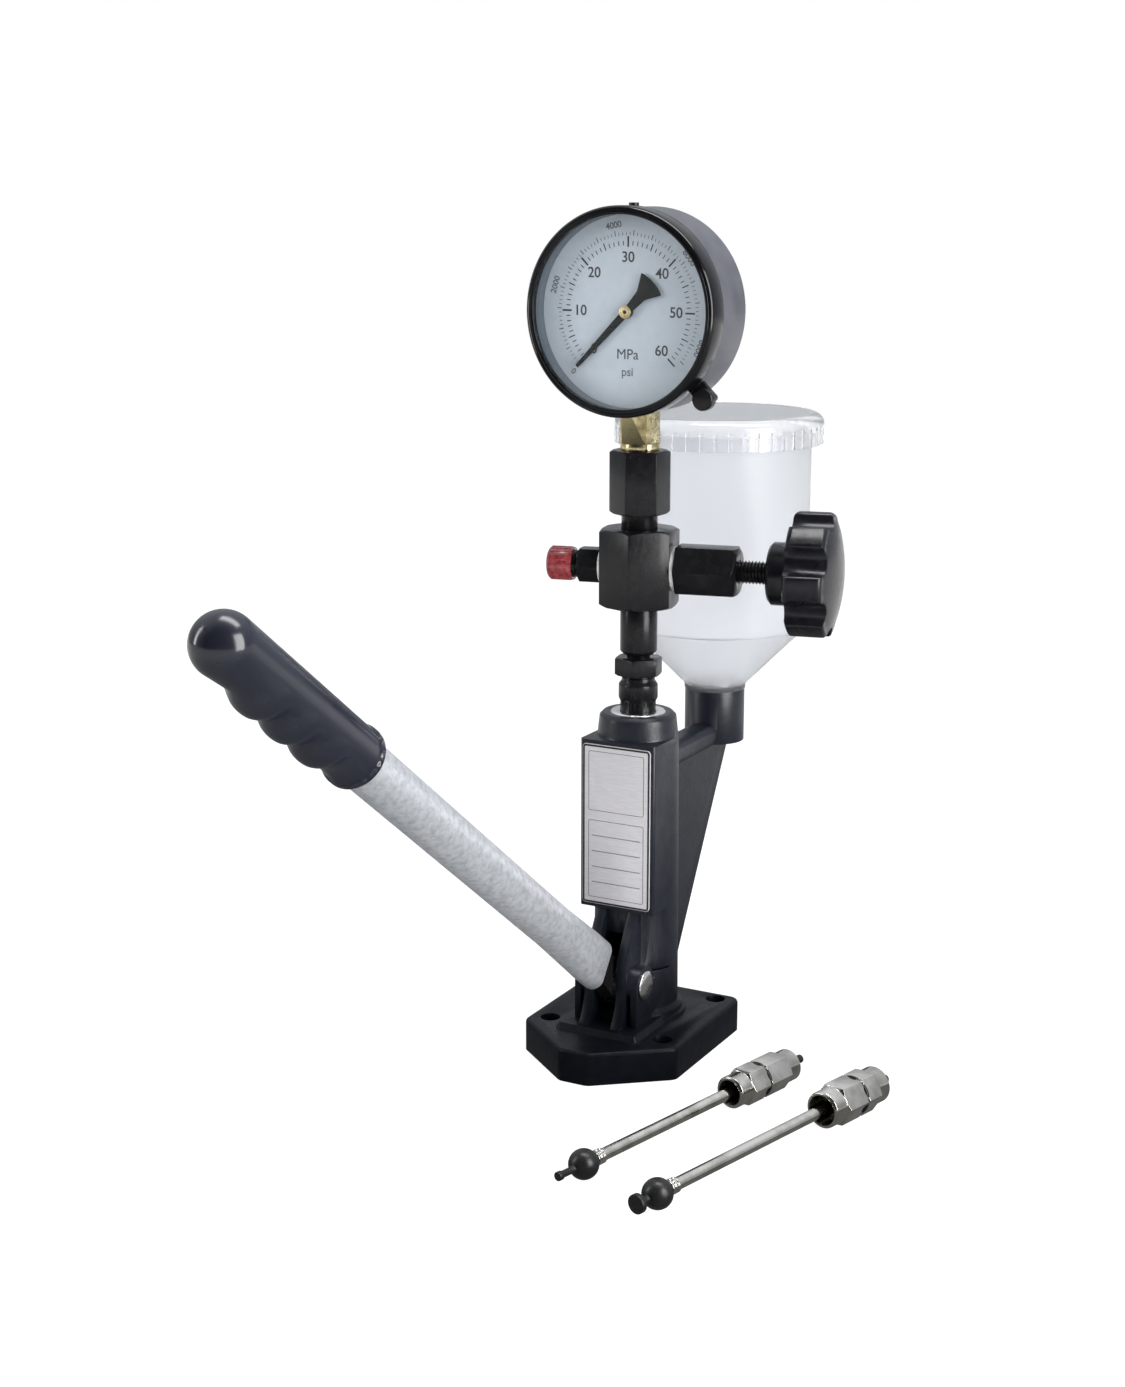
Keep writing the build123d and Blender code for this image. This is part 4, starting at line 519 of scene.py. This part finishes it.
label = new_finish("label_metal", (0.54, 0.53, 0.55), 0.38, 0.25)
brushed = pattern(label, "Noise", 2600, 2, (0.08, 1, 1))
color_pattern(label, brushed.outputs["Fac"], (0.51, 0.50, 0.52), (0.57, 0.56, 0.58))
relief(label, brushed.outputs["Fac"], 0.00001, 0.2)

# painted shade: the pale dial's colour is darkened to a blue-grey
shaded_dial_paint = new_finish("dial_white", (0.34, 0.39, 0.44), 0.5)
lacquer = pattern(shaded_dial_paint, "Noise", 300, 3)
color_pattern(shaded_dial_paint, lacquer.outputs["Fac"], (0.33, 0.38, 0.43), (0.35, 0.40, 0.45))

# painted shade: the wall's colour is darkened for the shade it lies in
shaded_wall_paint = new_finish("wall_enamel", (0.055, 0.070, 0.085), 0.40)
spray = pattern(shaded_wall_paint, "Noise", 500, 3)
roughness_pattern(shaded_wall_paint, spray.outputs["Fac"], 0.28, 0.42)

pointer_paint = new_finish("pointer_black", (0.004, 0.006, 0.006), 0.45, Specular_IOR_Level=0.1)
dust = pattern(pointer_paint, "Noise", 900, 3)
roughness_pattern(pointer_paint, dust.outputs["Fac"], 0.28, 0.42)
print(washer.name, nylon.name, label.name, shaded_dial_paint.name, shaded_wall_paint.name, pointer_paint.name)

# %% [markdown]
# ** The gauge's enamel.** The housing is sprayed a satin black, lifted to a grey-black that is a
# painted sheen from the right softbox. The bezel is stoved to a deep gloss, so that it shows a
# sharp line of light all round.

# %% Gauge enamels
# painted sheen: the black housing's colour is lifted to a grey-black
case_paint_and_sheen = new_finish("case_enamel", (0.060, 0.062, 0.075), 0.36, Specular_IOR_Level=0.5)
haze = pattern(case_paint_and_sheen, "Noise", 90, 4)
orange_peel = pattern(case_paint_and_sheen, "Noise", 1200, 2)
color_pattern(case_paint_and_sheen, haze.outputs["Fac"], (0.050, 0.052, 0.064), (0.074, 0.076, 0.090))
roughness_pattern(case_paint_and_sheen, haze.outputs["Fac"], 0.30, 0.44)
relief(case_paint_and_sheen, orange_peel.outputs["Fac"], 0.00004, 0.5)

bezel_paint = new_finish("bezel_enamel", (0.003, 0.003, 0.004), 0.14, Specular_IOR_Level=0.30)
sag = pattern(bezel_paint, "Noise", 120, 2)
roughness_pattern(bezel_paint, sag.outputs["Fac"], 0.10, 0.20)
relief(bezel_paint, sag.outputs["Fac"], 0.00010, 0.3)
print(case_paint_and_sheen.name, bezel_paint.name)

# %% [markdown]
# ** Printing ink.** The dial is printed in black, its second scale in a fainter ink, and the
# frames of the label are etched grey. These are thin prints laid on a piece.

# %% Inks
for name, color, rough in (
    ("black_ink", (0.010, 0.012, 0.016), 0.5),
    ("faint_ink", (0.06, 0.07, 0.09), 0.5),
    ("label_ink", (0.16, 0.15, 0.16), 0.45),
    ("border_ink", (0.010, 0.010, 0.012), 0.4),
):
    ink = new_finish(name, color, rough)
    blot = pattern(ink, "Noise", 1500, 2)
    roughness_pattern(ink, blot.outputs["Fac"], rough - 0.06, rough + 0.06)
    print(ink.name)

# %% [markdown]
# **See-through parts.** The cup is blown from milky plastic that lets light through but blurs
# what is behind it, the lid is clearer, and the gauge has a flat window. The window casts no
# shadow, because the renderer would otherwise leave the dial behind it dark.

# %% Frosted cup, clear lid and window
frosted = new_finish(
    "frosted_plastic", (0.855, 0.870, 0.895), 0.34, IOR=1.25, Transmission_Weight=0.94
)
milky = pattern(frosted, "Noise", 45, 3)
roughness_pattern(frosted, milky.outputs["Fac"], 0.30, 0.37)

clear_lid = new_finish(
    "clear_plastic", (0.88, 0.89, 0.91), 0.12, IOR=1.45, Transmission_Weight=0.92
)
ripple = pattern(clear_lid, "Noise", 160, 3)
relief(clear_lid, ripple.outputs["Fac"], 0.0001, 0.2)

window = new_finish("glass", (1.0, 1.0, 1.0), 0.02, IOR=1.35, Transmission_Weight=1.0)
smear = pattern(window, "Noise", 60, 3)
roughness_pattern(window, smear.outputs["Fac"], 0.01, 0.03)
print(frosted.name, clear_lid.name, window.name)

# %% [markdown]
# Each CAD node now gets the finish that its material slot names.

# %% Give the nodes their finishes


def dress(piece, slot, finish=""):
    """Give a piece one finish: the one that its slot names, unless another finish is given."""
    piece.data.materials.clear()
    piece.data.materials.append(finishes[finish or slot])


for node, slot in slot_of.items():
    dress(frame["nodes"][node], slot)
frame["nodes"]["gauge_glass"].visible_shadow = False
print("dressed:", len(slot_of))

# %% [markdown]
# ## Rounded edges
# Real edges are never sharp: a casting has fillets, a turned part has a broken edge. A copy of
# the node is merged, its flat areas are joined, and a bevel rounds what is left. The copy then
# stands for the node.

# %% Rounded copies


def round_edges(piece, width, angle=30, corner="MITER_SHARP"):
    """Round the sharp edges of a piece and shade it smooth."""
    only(piece)
    bevel = piece.modifiers.new("rounded_edges", "BEVEL")
    bevel.width = width * MM
    bevel.segments = 2
    bevel.limit_method = "ANGLE"
    bevel.angle_limit = math.radians(angle)
    bevel.miter_outer = corner
    bpy.ops.object.modifier_apply(modifier=bevel.name)
    bpy.ops.object.shade_smooth_by_angle(angle=math.radians(angle))


def rounded_copy(node, width, angle=32):
    """Copy a node, join its loose triangles and round its edges."""
    only(frame["nodes"][node])
    bpy.ops.object.duplicate()
    piece = bpy.context.object
    piece.name = node + "_rounded"
    for key in [key for key in piece.keys() if key.startswith("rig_")]:
        del piece[key]
    bpy.ops.object.mode_set(mode="EDIT")
    bpy.ops.mesh.select_all(action="SELECT")
    bpy.ops.mesh.remove_doubles(threshold=0.002 * MM)
    bpy.ops.mesh.dissolve_limited(angle_limit=math.radians(0.6))
    bpy.ops.object.mode_set(mode="OBJECT")
    round_edges(piece, width, angle, corner="MITER_ARC")
    piece.parent = None
    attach(piece, body_of[node])
    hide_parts(node)
    dress(piece, slot_of[node])
    return piece


edge_widths = {
    "pump_body": 0.9,
    "label_plate": 0.2,
    "lever_arm": 0.6,
    "pivot_pin": 0.3,
    "valve_holder": 0.3,
    "lock_ring": 0.2,
    "union_nut": 0.3,
    "riser_tube": 0.3,
    "cross_block": 0.4,
    "outlet_stub": 0.3,
    "outlet_cap": 0.3,
    "valve_bonnet": 0.4,
    "star_knob": 0.6,
    "gauge_adapter": 0.4,
    "gauge_socket": 0.3,
    "gauge_case": 0.4,
    "case_plug": 0.2,
    "screw_bracket": 0.2,
    "thumb_screw": 0.2,
    "pointer": 0.12,
    "pointer_hub": 0.15,
    "lever_tube": 0.3,
    "grip": 0.5,
    "outlet_washer": 0.1,
    "valve_washer": 0.1,
    "long_pipe_open_nut": 0.25,
    "long_pipe_closed_nut": 0.25,
    "long_pipe_end_plug": 0.25,
    "long_pipe_tail_plug": 0.2,
    "short_pipe_open_nut": 0.25,
    "short_pipe_closed_nut": 0.25,
    "short_pipe_end_plug": 0.25,
    "short_pipe_tail_plug": 0.2,
}
soft_shapes = {"grip": 55, "star_knob": 40}
for node, width in edge_widths.items():
    piece = rounded_copy(node, width, angle=soft_shapes.get(node, 32))
    print(piece.name, len(piece.data.polygons))

# %% [markdown]
# **Finger hollows.** The photograph shows three plump rolls under the grip, with deep hollows
# between them. The vertices under each hollow are picked by their place along the lever and pushed
# towards its axis, and those of each roll are pulled out. Proportional editing takes the skin
# around them along, but not the bore, because only connected vertices follow.

# %% Deeper finger hollows
LEVER_TURN = math.radians(36.5)
PIVOT = Vector((0, -25.5, 41.0))
ALONG_LEVER = Vector((0, -math.cos(LEVER_TURN), math.sin(LEVER_TURN)))
BELOW_LEVER = Vector((0, -math.sin(LEVER_TURN), -math.cos(LEVER_TURN)))
FINGER_START = 313.0
FINGER_PITCH = 23.6
HOLLOW_DEPTH = 1.7
ROLL_HEIGHT = 0.8
BAND = 1.3
UNDERSIDE = 10.5
REACH = 8.0
grip = bpy.data.objects["grip_rounded"]
only(grip)
bpy.context.tool_settings.mesh_select_mode = (True, False, False)
for step in range(7):
    station = FINGER_START + step * FINGER_PITCH / 2
    bpy.ops.object.mode_set(mode="EDIT")
    bpy.ops.mesh.select_all(action="DESELECT")
    bpy.ops.object.mode_set(mode="OBJECT")
    picked = 0
    for vertex in grip.data.vertices:
        place = vertex.co / MM - PIVOT
        beside = abs(place.dot(ALONG_LEVER) - station) < BAND
        vertex.select = beside and place.dot(BELOW_LEVER) > UNDERSIDE
        picked += vertex.select
    push = BELOW_LEVER * MM * (ROLL_HEIGHT if step % 2 else -HOLLOW_DEPTH)
    bpy.ops.object.mode_set(mode="EDIT")
    bpy.ops.transform.translate(
        value=push,
        use_proportional_edit=True,
        proportional_edit_falloff="SMOOTH",
        proportional_size=REACH * MM,
        use_proportional_connected=True,
    )
    bpy.ops.object.mode_set(mode="OBJECT")
    print("station", round(station, 1), "vertices:", picked)

# %% [markdown]
# ## Turned pieces
# A bezel is a ring turned on a lathe. In Blender a lathe is a circle that is extruded and scaled
# along a profile. Each profile point is a radius and a height in millimetres. A ring is closed by
# a bridge between its first and last circle, and a solid bar is capped at both ends.

# %% Lathe helpers


def select_rim():
    """Select the open edges of the piece that is in edit mode."""
    bpy.ops.mesh.select_all(action="DESELECT")
    bpy.ops.mesh.select_non_manifold(extend=False, use_wire=False, use_boundary=True)


def turned(name, profile, sides=96, ring=True):
    """Turn a profile of (radius, height) about the Z axis at the origin."""
    radius, height = profile[0]
    bpy.ops.object.select_all(action="DESELECT")
    bpy.ops.mesh.primitive_circle_add(
        vertices=sides, radius=radius * MM, location=(0, 0, height * MM)
    )
    bpy.ops.object.transform_apply(location=True, rotation=False, scale=False)
    piece = bpy.context.object
    piece.name = name
    bpy.ops.object.mode_set(mode="EDIT")
    bpy.ops.mesh.select_all(action="SELECT")
    for next_radius, next_height in profile[1:]:
        bpy.ops.mesh.extrude_edges_move(
            TRANSFORM_OT_translate={"value": (0, 0, (next_height - height) * MM)}
        )
        share = next_radius / radius
        bpy.ops.transform.resize(value=(share, share, 1), center_override=(0, 0, next_height * MM))
        radius, height = next_radius, next_height
    select_rim()
    if ring:
        bpy.ops.mesh.bridge_edge_loops()
    else:
        bpy.ops.mesh.edge_face_add()
        bpy.ops.mesh.select_all(action="SELECT")
        bpy.ops.mesh.fill_holes(sides=0)
    bpy.ops.mesh.select_all(action="SELECT")
    bpy.ops.mesh.remove_doubles(threshold=0.001 * MM)
    bpy.ops.mesh.normals_make_consistent(inside=False)
    bpy.ops.object.mode_set(mode="OBJECT")
    return piece


def set_in_place(piece, location, rotation=(0, 0, 0)):
    """Move and turn a finished piece, and write that place into its mesh."""
    only(piece)
    piece.location = [value * MM for value in location]
    piece.rotation_euler = rotation
    bpy.ops.object.transform_apply(location=True, rotation=True, scale=True)


print("lathe helpers ready")

# %% [markdown]
# **Bezel.** A ring of black enamelled steel holds the glass. It has a rounded outer edge, a
# groove that catches a line of light, and a lip over the glass.

# %% Bezel
GAUGE_HEIGHT = 386.7
FACING = (math.pi / 2, 0, 0)
bezel_profile = (
    (50.74, 14.0),
    (51.5, 14.0),
    (51.5, 24.6),
    (51.2, 25.7),
    (50.5, 26.5),
    (49.9, 26.65),
    (49.6, 26.1),
    (49.2, 26.1),
    (48.9, 26.6),
    (47.9, 26.6),
    (47.3, 26.2),
    (47.2, 24.72),
    (50.74, 24.72),
)
bezel = turned("bezel", bezel_profile, sides=160)
set_in_place(bezel, (0, 0, GAUGE_HEIGHT), FACING)
round_edges(bezel, 0.15)
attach(bezel, "tester")
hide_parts("gauge_bezel")
dress(bezel, "bezel_enamel")
print(bezel.name, len(bezel.data.polygons), [round(v * 1000, 1) for v in bezel.dimensions])

# %% [markdown]
# ## Dial
# The dial is printed with a main scale from 0 to 60 megapascal over 270 degrees, with numbers
# inside it, and a finer second scale outside it. One mark is made flat, and spin with its
# duplicate option repeats it round the middle.

# %% Dial marks
DIAL_FRONT = 14.4
PRINT_LIFT = 0.03
PRINT_DEPTH = 0.06
SCALE_START = math.radians(225)
SCALE_SWEEP = math.radians(270)


def spun_bar(name, middle, size, steps, sweep):
    """One small bar, repeated round the Z axis by the steps of a sweep."""
    bpy.ops.object.select_all(action="DESELECT")
    bpy.ops.mesh.primitive_cube_add(size=1, location=[value * MM for value in middle])
    bar = bpy.context.object
    bar.name = name
    bar.scale = [value * MM for value in size]
    bpy.ops.object.transform_apply(location=True, rotation=False, scale=True)
    bpy.ops.object.mode_set(mode="EDIT")
    bpy.ops.mesh.select_all(action="SELECT")
    bpy.ops.mesh.spin(
        steps=steps, dupli=True, angle=sweep, use_auto_merge=False, center=(0, 0, 0), axis=(0, 0, 1)
    )
    bpy.ops.object.mode_set(mode="OBJECT")
    return bar


def dial_marks(name, count, inner, outer, width, ink, sweep):
    """A row of radial marks, clockwise round the dial's middle."""
    size = (outer - inner, width, PRINT_DEPTH)
    bar = spun_bar(name, ((inner + outer) / 2, 0, 0), size, count, sweep)
    set_in_place(bar, (0, 0, 0), (0, 0, SCALE_START))
    set_in_place(bar, (0, -DIAL_FRONT - PRINT_LIFT, GAUGE_HEIGHT), FACING)
    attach(bar, "tester")
    dress(bar, "dial_white", ink)
    return bar


MPA_FULL = 60
PSI_FULL = MPA_FULL / 0.006894757
PSI_LAST = 8500
psi_sweep = SCALE_SWEEP * PSI_LAST / PSI_FULL
rows = (
    ("dial_marks_1", 60, 32.2, 34.4, 0.42, "black_ink", SCALE_SWEEP),
    ("dial_marks_5", 12, 31.9, 35.6, 0.55, "black_ink", SCALE_SWEEP),
    ("dial_marks_10", 6, 31.4, 36.6, 0.85, "black_ink", SCALE_SWEEP),
    ("dial_marks_psi_100", 85, 37.0, 38.6, 0.30, "faint_ink", psi_sweep),
    ("dial_marks_psi_500", 17, 37.0, 39.6, 0.45, "faint_ink", psi_sweep),
)
for name, count, inner, outer, width, ink, sweep in rows:
    marks = dial_marks(name, count, inner, outer, width, ink, sweep)
    print(marks.name, len(marks.data.polygons))

# %% [markdown]
# The numbers are text. Text has no thickness of its own, so it is extruded a little, turned into
# a mesh while it still lies flat at the origin, and only then moved onto the dial. It is written a
# thousand times too large and scaled down as a mesh, because the fill of very small letters loses
# some of their corners.

# %% Dial numbers


def dial_text(body, size, x, y, ink, turn=0.0, bold=0.1):
    """Print a word or number on the dial, its middle at x and y from the dial's middle."""
    bpy.ops.object.select_all(action="DESELECT")
    bpy.ops.object.text_add(location=(0, 0, 0))
    word = bpy.context.object
    word.data.body = body
    word.data.size = size
    word.data.align_x = "CENTER"
    word.data.align_y = "CENTER"
    word.data.extrude = PRINT_DEPTH / 2
    word.data.offset = bold
    bpy.ops.object.convert(target="MESH")
    word = bpy.context.object
    word.name = "dial_print_" + body.lower()
    word.scale = (MM, MM, MM)
    set_in_place(word, (x, y, 0), (0, 0, turn))
    set_in_place(word, (0, -DIAL_FRONT - PRINT_LIFT, GAUGE_HEIGHT), FACING)
    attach(word, "tester")
    dress(word, "dial_white", ink)
    return word


MPA_RADIUS = 26.4
PSI_RADIUS = 42.4
for number in range(0, 61, 10):
    angle = SCALE_START - SCALE_SWEEP * number / MPA_FULL
    x, y = MPA_RADIUS * math.cos(angle), MPA_RADIUS * math.sin(angle)
    print(dial_text(str(number), 7.2, x, y, "black_ink").name)
for number in range(0, 8001, 2000):
    angle = SCALE_START - SCALE_SWEEP * number / PSI_FULL
    x, y = PSI_RADIUS * math.cos(angle), PSI_RADIUS * math.sin(angle)
    upright = angle - math.pi / 2
    print(dial_text(str(number), 4.4, x, y, "faint_ink", turn=upright, bold=0.08).name)
print(dial_text("MPa", 7.2, 0, -21.0, "black_ink", bold=0.0).name)
print(dial_text("psi", 6.0, 0, -29.6, "faint_ink", bold=0.08).name)

# %% [markdown]
# **Pointer arm.** The arm of a pressed pointer is a tapering strip. It starts as a box laid over
# the arm of the CAD pointer, and its far end is scaled down to the width of the tip.

# %% Pointer arm
POINTER_FRONT = 16.6
ARM_REACH = 38.9
ARM_WIDTH = 4.2
ARM_THICKNESS = 0.7
ARM_MIDDLE = -0.3
TIP_SHARE = 0.45
bpy.ops.object.select_all(action="DESELECT")
bpy.ops.mesh.primitive_cube_add(size=1, location=(ARM_REACH * MM / 2, 0, ARM_MIDDLE * MM))
arm = bpy.context.object
arm.name = "pointer_arm"
arm.scale = (ARM_REACH * MM, ARM_WIDTH * MM, ARM_THICKNESS * MM)
bpy.ops.object.transform_apply(location=True, rotation=False, scale=True)
bpy.ops.object.mode_set(mode="EDIT")
bpy.ops.mesh.select_all(action="DESELECT")
bpy.ops.object.mode_set(mode="OBJECT")
for vertex in arm.data.vertices:
    vertex.select = vertex.co.x > ARM_REACH * MM / 2
bpy.ops.object.mode_set(mode="EDIT")
bpy.ops.transform.resize(value=(1, TIP_SHARE, 1), center_override=(ARM_REACH * MM, 0, 0))
bpy.ops.object.mode_set(mode="OBJECT")
round_edges(arm, 0.12)
set_in_place(arm, (0, 0, 0), (0, 0, SCALE_START))
set_in_place(arm, (0, -POINTER_FRONT, GAUGE_HEIGHT), FACING)
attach(arm, body_of["pointer"])
dress(arm, slot_of["pointer"])
print(arm.name, [round(value * 1000, 1) for value in arm.dimensions])

# %% [markdown]
# **Pointer boss.** A pale ring is pressed onto the pointer's boss, and the brass cap in it has a
# dark centre mark.

# %% Boss ring and centre mark
boss_profile = ((2.35, 0.3), (2.35, 1.15), (2.6, 1.3), (3.1, 1.2), (3.28, 0.9), (3.28, 0.3))
mark_profile = ((0.95, 1.0), (0.95, 1.26), (0.7, 1.32))
boss_ring = turned("boss_ring", boss_profile, sides=64)
centre_mark = turned("centre_mark", mark_profile, sides=32, ring=False)
for piece, slot, finish in ((boss_ring, "brass", "brass"), (centre_mark, "brass", "pointer_black")):
    set_in_place(piece, (0, -POINTER_FRONT, GAUGE_HEIGHT), FACING)
    only(piece)
    bpy.ops.object.shade_smooth_by_angle(angle=math.radians(30))
    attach(piece, body_of["pointer"])
    dress(piece, slot, finish)
    print(piece.name, len(piece.data.polygons))

# %% [markdown]
# ## Label
# The plate on the column stays generic: a black border, a fine square frame above, and a fine
# frame with four blank lines below. A frame is a flat rectangle whose corners are rounded, inset
# by the width of the line, with its middle taken out.

# %% Label frames
label_low, label_high = [corner * 1000 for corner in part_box("label_plate")]
LABEL_FRONT = label_low.y
LABEL_MIDDLE = (label_low.z + label_high.z) / 2
print("label:", [round(v, 1) for v in label_low], [round(v, 1) for v in label_high])


def label_frame(name, width, height, centre, line, corner, ink):
    """A rounded rectangular line on the label's face."""
    bpy.ops.object.select_all(action="DESELECT")
    bpy.ops.mesh.primitive_plane_add(size=1, location=(0, 0, 0))
    outline = bpy.context.object
    outline.name = name
    outline.scale = (width * MM, height * MM, 1)
    bpy.ops.object.transform_apply(location=False, rotation=False, scale=True)
    bpy.ops.object.mode_set(mode="EDIT")
    bpy.ops.mesh.select_all(action="SELECT")
    bpy.ops.mesh.bevel(offset=corner * MM, segments=6, affect="VERTICES")
    bpy.ops.mesh.select_all(action="SELECT")
    bpy.ops.mesh.inset(thickness=line * MM)
    bpy.ops.mesh.delete(type="FACE")
    bpy.ops.mesh.select_all(action="SELECT")
    bpy.ops.mesh.extrude_region_move(TRANSFORM_OT_translate={"value": (0, 0, PRINT_DEPTH * MM)})
    bpy.ops.mesh.select_all(action="SELECT")
    bpy.ops.mesh.normals_make_consistent(inside=False)
    bpy.ops.object.mode_set(mode="OBJECT")
    set_in_place(outline, (0, LABEL_FRONT, centre), FACING)
    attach(outline, "tester")
    dress(outline, "label_metal", ink)
    return outline


MARGIN = 3.5
RULES = 4
label_width = label_high.x - label_low.x
label_height = label_high.z - label_low.z
square = label_width - 2 * MARGIN
panel = label_height - label_width - 5
square_centre = label_high.z - label_width / 2
panel_centre = label_low.z + MARGIN + panel / 2
for name, width, height, centre, line, corner, ink in (
    ("label_border", label_width - 0.6, label_height - 0.6, LABEL_MIDDLE, 1.0, 1.6, "border_ink"),
    ("label_square", square, square, square_centre, 0.35, 1.2, "label_ink"),
    ("label_panel", square, panel, panel_centre, 0.35, 1.2, "label_ink"),
):
    outline = label_frame(name, width, height, centre, line, corner, ink)
    print(outline.name, len(outline.data.polygons))
for row in range(1, RULES + 1):
    height = panel_centre + panel / 2 - row * panel / (RULES + 1)
    label_frame("label_rule_" + str(row), square - 4, 0.5, height, 0.2, 0.05, "label_ink")
print("ruled lines:", RULES)

# %% [markdown]
# ## Valve spindle
# A few turns of its M12 thread show between the bonnet and the knob. The Screw modifier winds one
# small triangle round an axis, and the spindle's core is a turned bar inside the thread.

# %% Threaded spindle
PORT_HEIGHT = 257.0
PORT_TURN = math.radians(11.5)
TOWARDS_KNOB = (0, math.pi / 2, PORT_TURN)
THREAD_PITCH = 1.75
THREAD_TURNS = 12
THREAD_START = 49.5
core_profile = ((4.0, 24.0), (5.15, 24.6), (5.15, 84.4), (4.3, 85.0))
core = turned("spindle_core", core_profile, sides=48, ring=False)
bpy.ops.object.select_all(action="DESELECT")
bpy.ops.mesh.primitive_circle_add(
    vertices=3, radius=0.95 * MM, location=(5.0 * MM, 0, THREAD_START * MM)
)
thread = bpy.context.object
thread.name = "spindle_thread"
thread.rotation_euler = (math.pi / 2, math.radians(90), 0)
bpy.ops.object.transform_apply(location=True, rotation=True, scale=True)
winding = thread.modifiers.new("winding", "SCREW")
winding.axis = "Z"
winding.screw_offset = THREAD_PITCH * MM
winding.iterations = THREAD_TURNS
winding.steps = 40
winding.render_steps = 40
bpy.ops.object.modifier_apply(modifier=winding.name)
bpy.ops.object.select_all(action="DESELECT")
core.select_set(True)
thread.select_set(True)
bpy.context.view_layer.objects.active = core
bpy.ops.object.join()
spindle = core
spindle.name = "threaded_spindle"
bpy.ops.object.mode_set(mode="EDIT")
bpy.ops.mesh.select_all(action="SELECT")
bpy.ops.mesh.normals_make_consistent(inside=False)
bpy.ops.object.mode_set(mode="OBJECT")
set_in_place(spindle, (0, 0, PORT_HEIGHT), TOWARDS_KNOB)
bpy.ops.object.shade_smooth_by_angle(angle=math.radians(30))
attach(spindle, "knob")
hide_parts("valve_spindle")
dress(spindle, "blackened_steel")
print(spindle.name, len(spindle.data.polygons))

# %% [markdown]
# In the photograph a hollow between two lobes faces the camera, a little below the middle. A knob
# sits on its spindle at any turn, so the rounded copy is turned about the spindle until it matches.

# %% Turn of the knob
KNOB_TURN = 172
knob = bpy.data.objects["star_knob_rounded"]
spindle_way = Vector((math.cos(PORT_TURN), math.sin(PORT_TURN), 0))
spindle_middle = Matrix.Translation((0, 0, PORT_HEIGHT * MM))
turn = Matrix.Rotation(math.radians(KNOB_TURN), 4, spindle_way)
only(knob)
knob.matrix_world = spindle_middle @ turn @ spindle_middle.inverted() @ knob.matrix_world
bpy.ops.object.transform_apply(location=True, rotation=True, scale=True)
print(knob.name, "turned by", KNOB_TURN, "degrees")

# %% [markdown]
# ## Small turned details
# The red cap has ribs for the fingers. One rib is a bar on the cap's side, and spin repeats it
# round the cap.

# %% Ribs of the red cap
TOWARDS_OUTLET = (0, -math.pi / 2, PORT_TURN)
CAP_RADIUS = 8.5
CAP_RIBS = 20
ribs = spun_bar(
    "cap_ribs",
    (CAP_RADIUS, 0, 41.2),
    (0.7, 0.9, 10.8),
    CAP_RIBS - 1,
    2 * math.pi * (CAP_RIBS - 1) / CAP_RIBS,
)
round_edges(ribs, 0.25, angle=60)
set_in_place(ribs, (0, 0, PORT_HEIGHT), TOWARDS_OUTLET)
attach(ribs, body_of["outlet_cap"])
dress(ribs, "red_plastic")
print(ribs.name, len(ribs.data.polygons))

# %% [markdown]
# Each loose pipe has a pale crimped collar where the rubber ball starts, and a dark ring between
# its two nuts that is painted shade for the gap there. Both are turned rings, laid along the pipe.
# The dark ring stands a little proud of the nuts, so it is cut flat where it lies on the floor.

# %% Collars and painted gap shade of the loose pipes
collar_profile = (
    (3.02, 0.0),
    (3.75, 0.2),
    (3.75, 1.4),
    (3.3, 1.6),
    (3.3, 2.1),
    (3.75, 2.3),
    (3.75, 3.5),
    (3.3, 3.7),
    (3.3, 4.2),
    (3.7, 4.4),
    (3.7, 5.4),
    (3.02, 5.7),
)
GAP_SHADE_PROUD = 0.45
GAP_SHADE_DEPTH = 2.0
OVER_FLOOR = 0.02
for name, tip, heading, ball_end, nuts_meet, flats in (
    ("long_pipe", (53.1, -185.8), 76.2, 25.3, 149.6, 17.0),
    ("short_pipe", (97.6, -195.6), 75.3, 22.2, 162.3, 19.0),
):
    along = (math.cos(math.radians(heading)), math.sin(math.radians(heading)))
    lying = (0, math.pi / 2, math.radians(heading))
    collar = turned(name + "_collar", collar_profile, sides=64)
    start = [tip[axis] + along[axis] * (ball_end - 0.4) for axis in (0, 1)]
    set_in_place(collar, (*start, flats / 2), lying)
    round_edges(collar, 0.1)
    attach(collar, body_of[name])
    dress(collar, "plated_steel")
    # painted shade: a dark ring for the shaded gap between the two nuts
    edge = flats / 2 + GAP_SHADE_PROUD
    bore = edge - GAP_SHADE_DEPTH
    gap_shade_profile = ((bore, 0.0), (edge, 0.0), (edge + 0.12, 0.5), (edge, 1.3), (bore, 1.3))
    ring = turned(name + "_painted_gap_shade", gap_shade_profile, sides=96)
    start = [tip[axis] + along[axis] * (nuts_meet - 0.25) for axis in (0, 1)]
    set_in_place(ring, (*start, flats / 2), lying)
    only(ring)
    bpy.ops.object.mode_set(mode="EDIT")
    bpy.ops.mesh.select_all(action="SELECT")
    bpy.ops.mesh.bisect(
        plane_co=(0, 0, OVER_FLOOR * MM), plane_no=(0, 0, 1), use_fill=True, clear_inner=True
    )
    bpy.ops.object.mode_set(mode="OBJECT")
    round_edges(ring, 0.08)
    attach(ring, body_of[name + "_closed_nut"])
    dress(ring, "black_rubber")
    print(collar.name, len(collar.data.polygons), ring.name, len(ring.data.polygons))
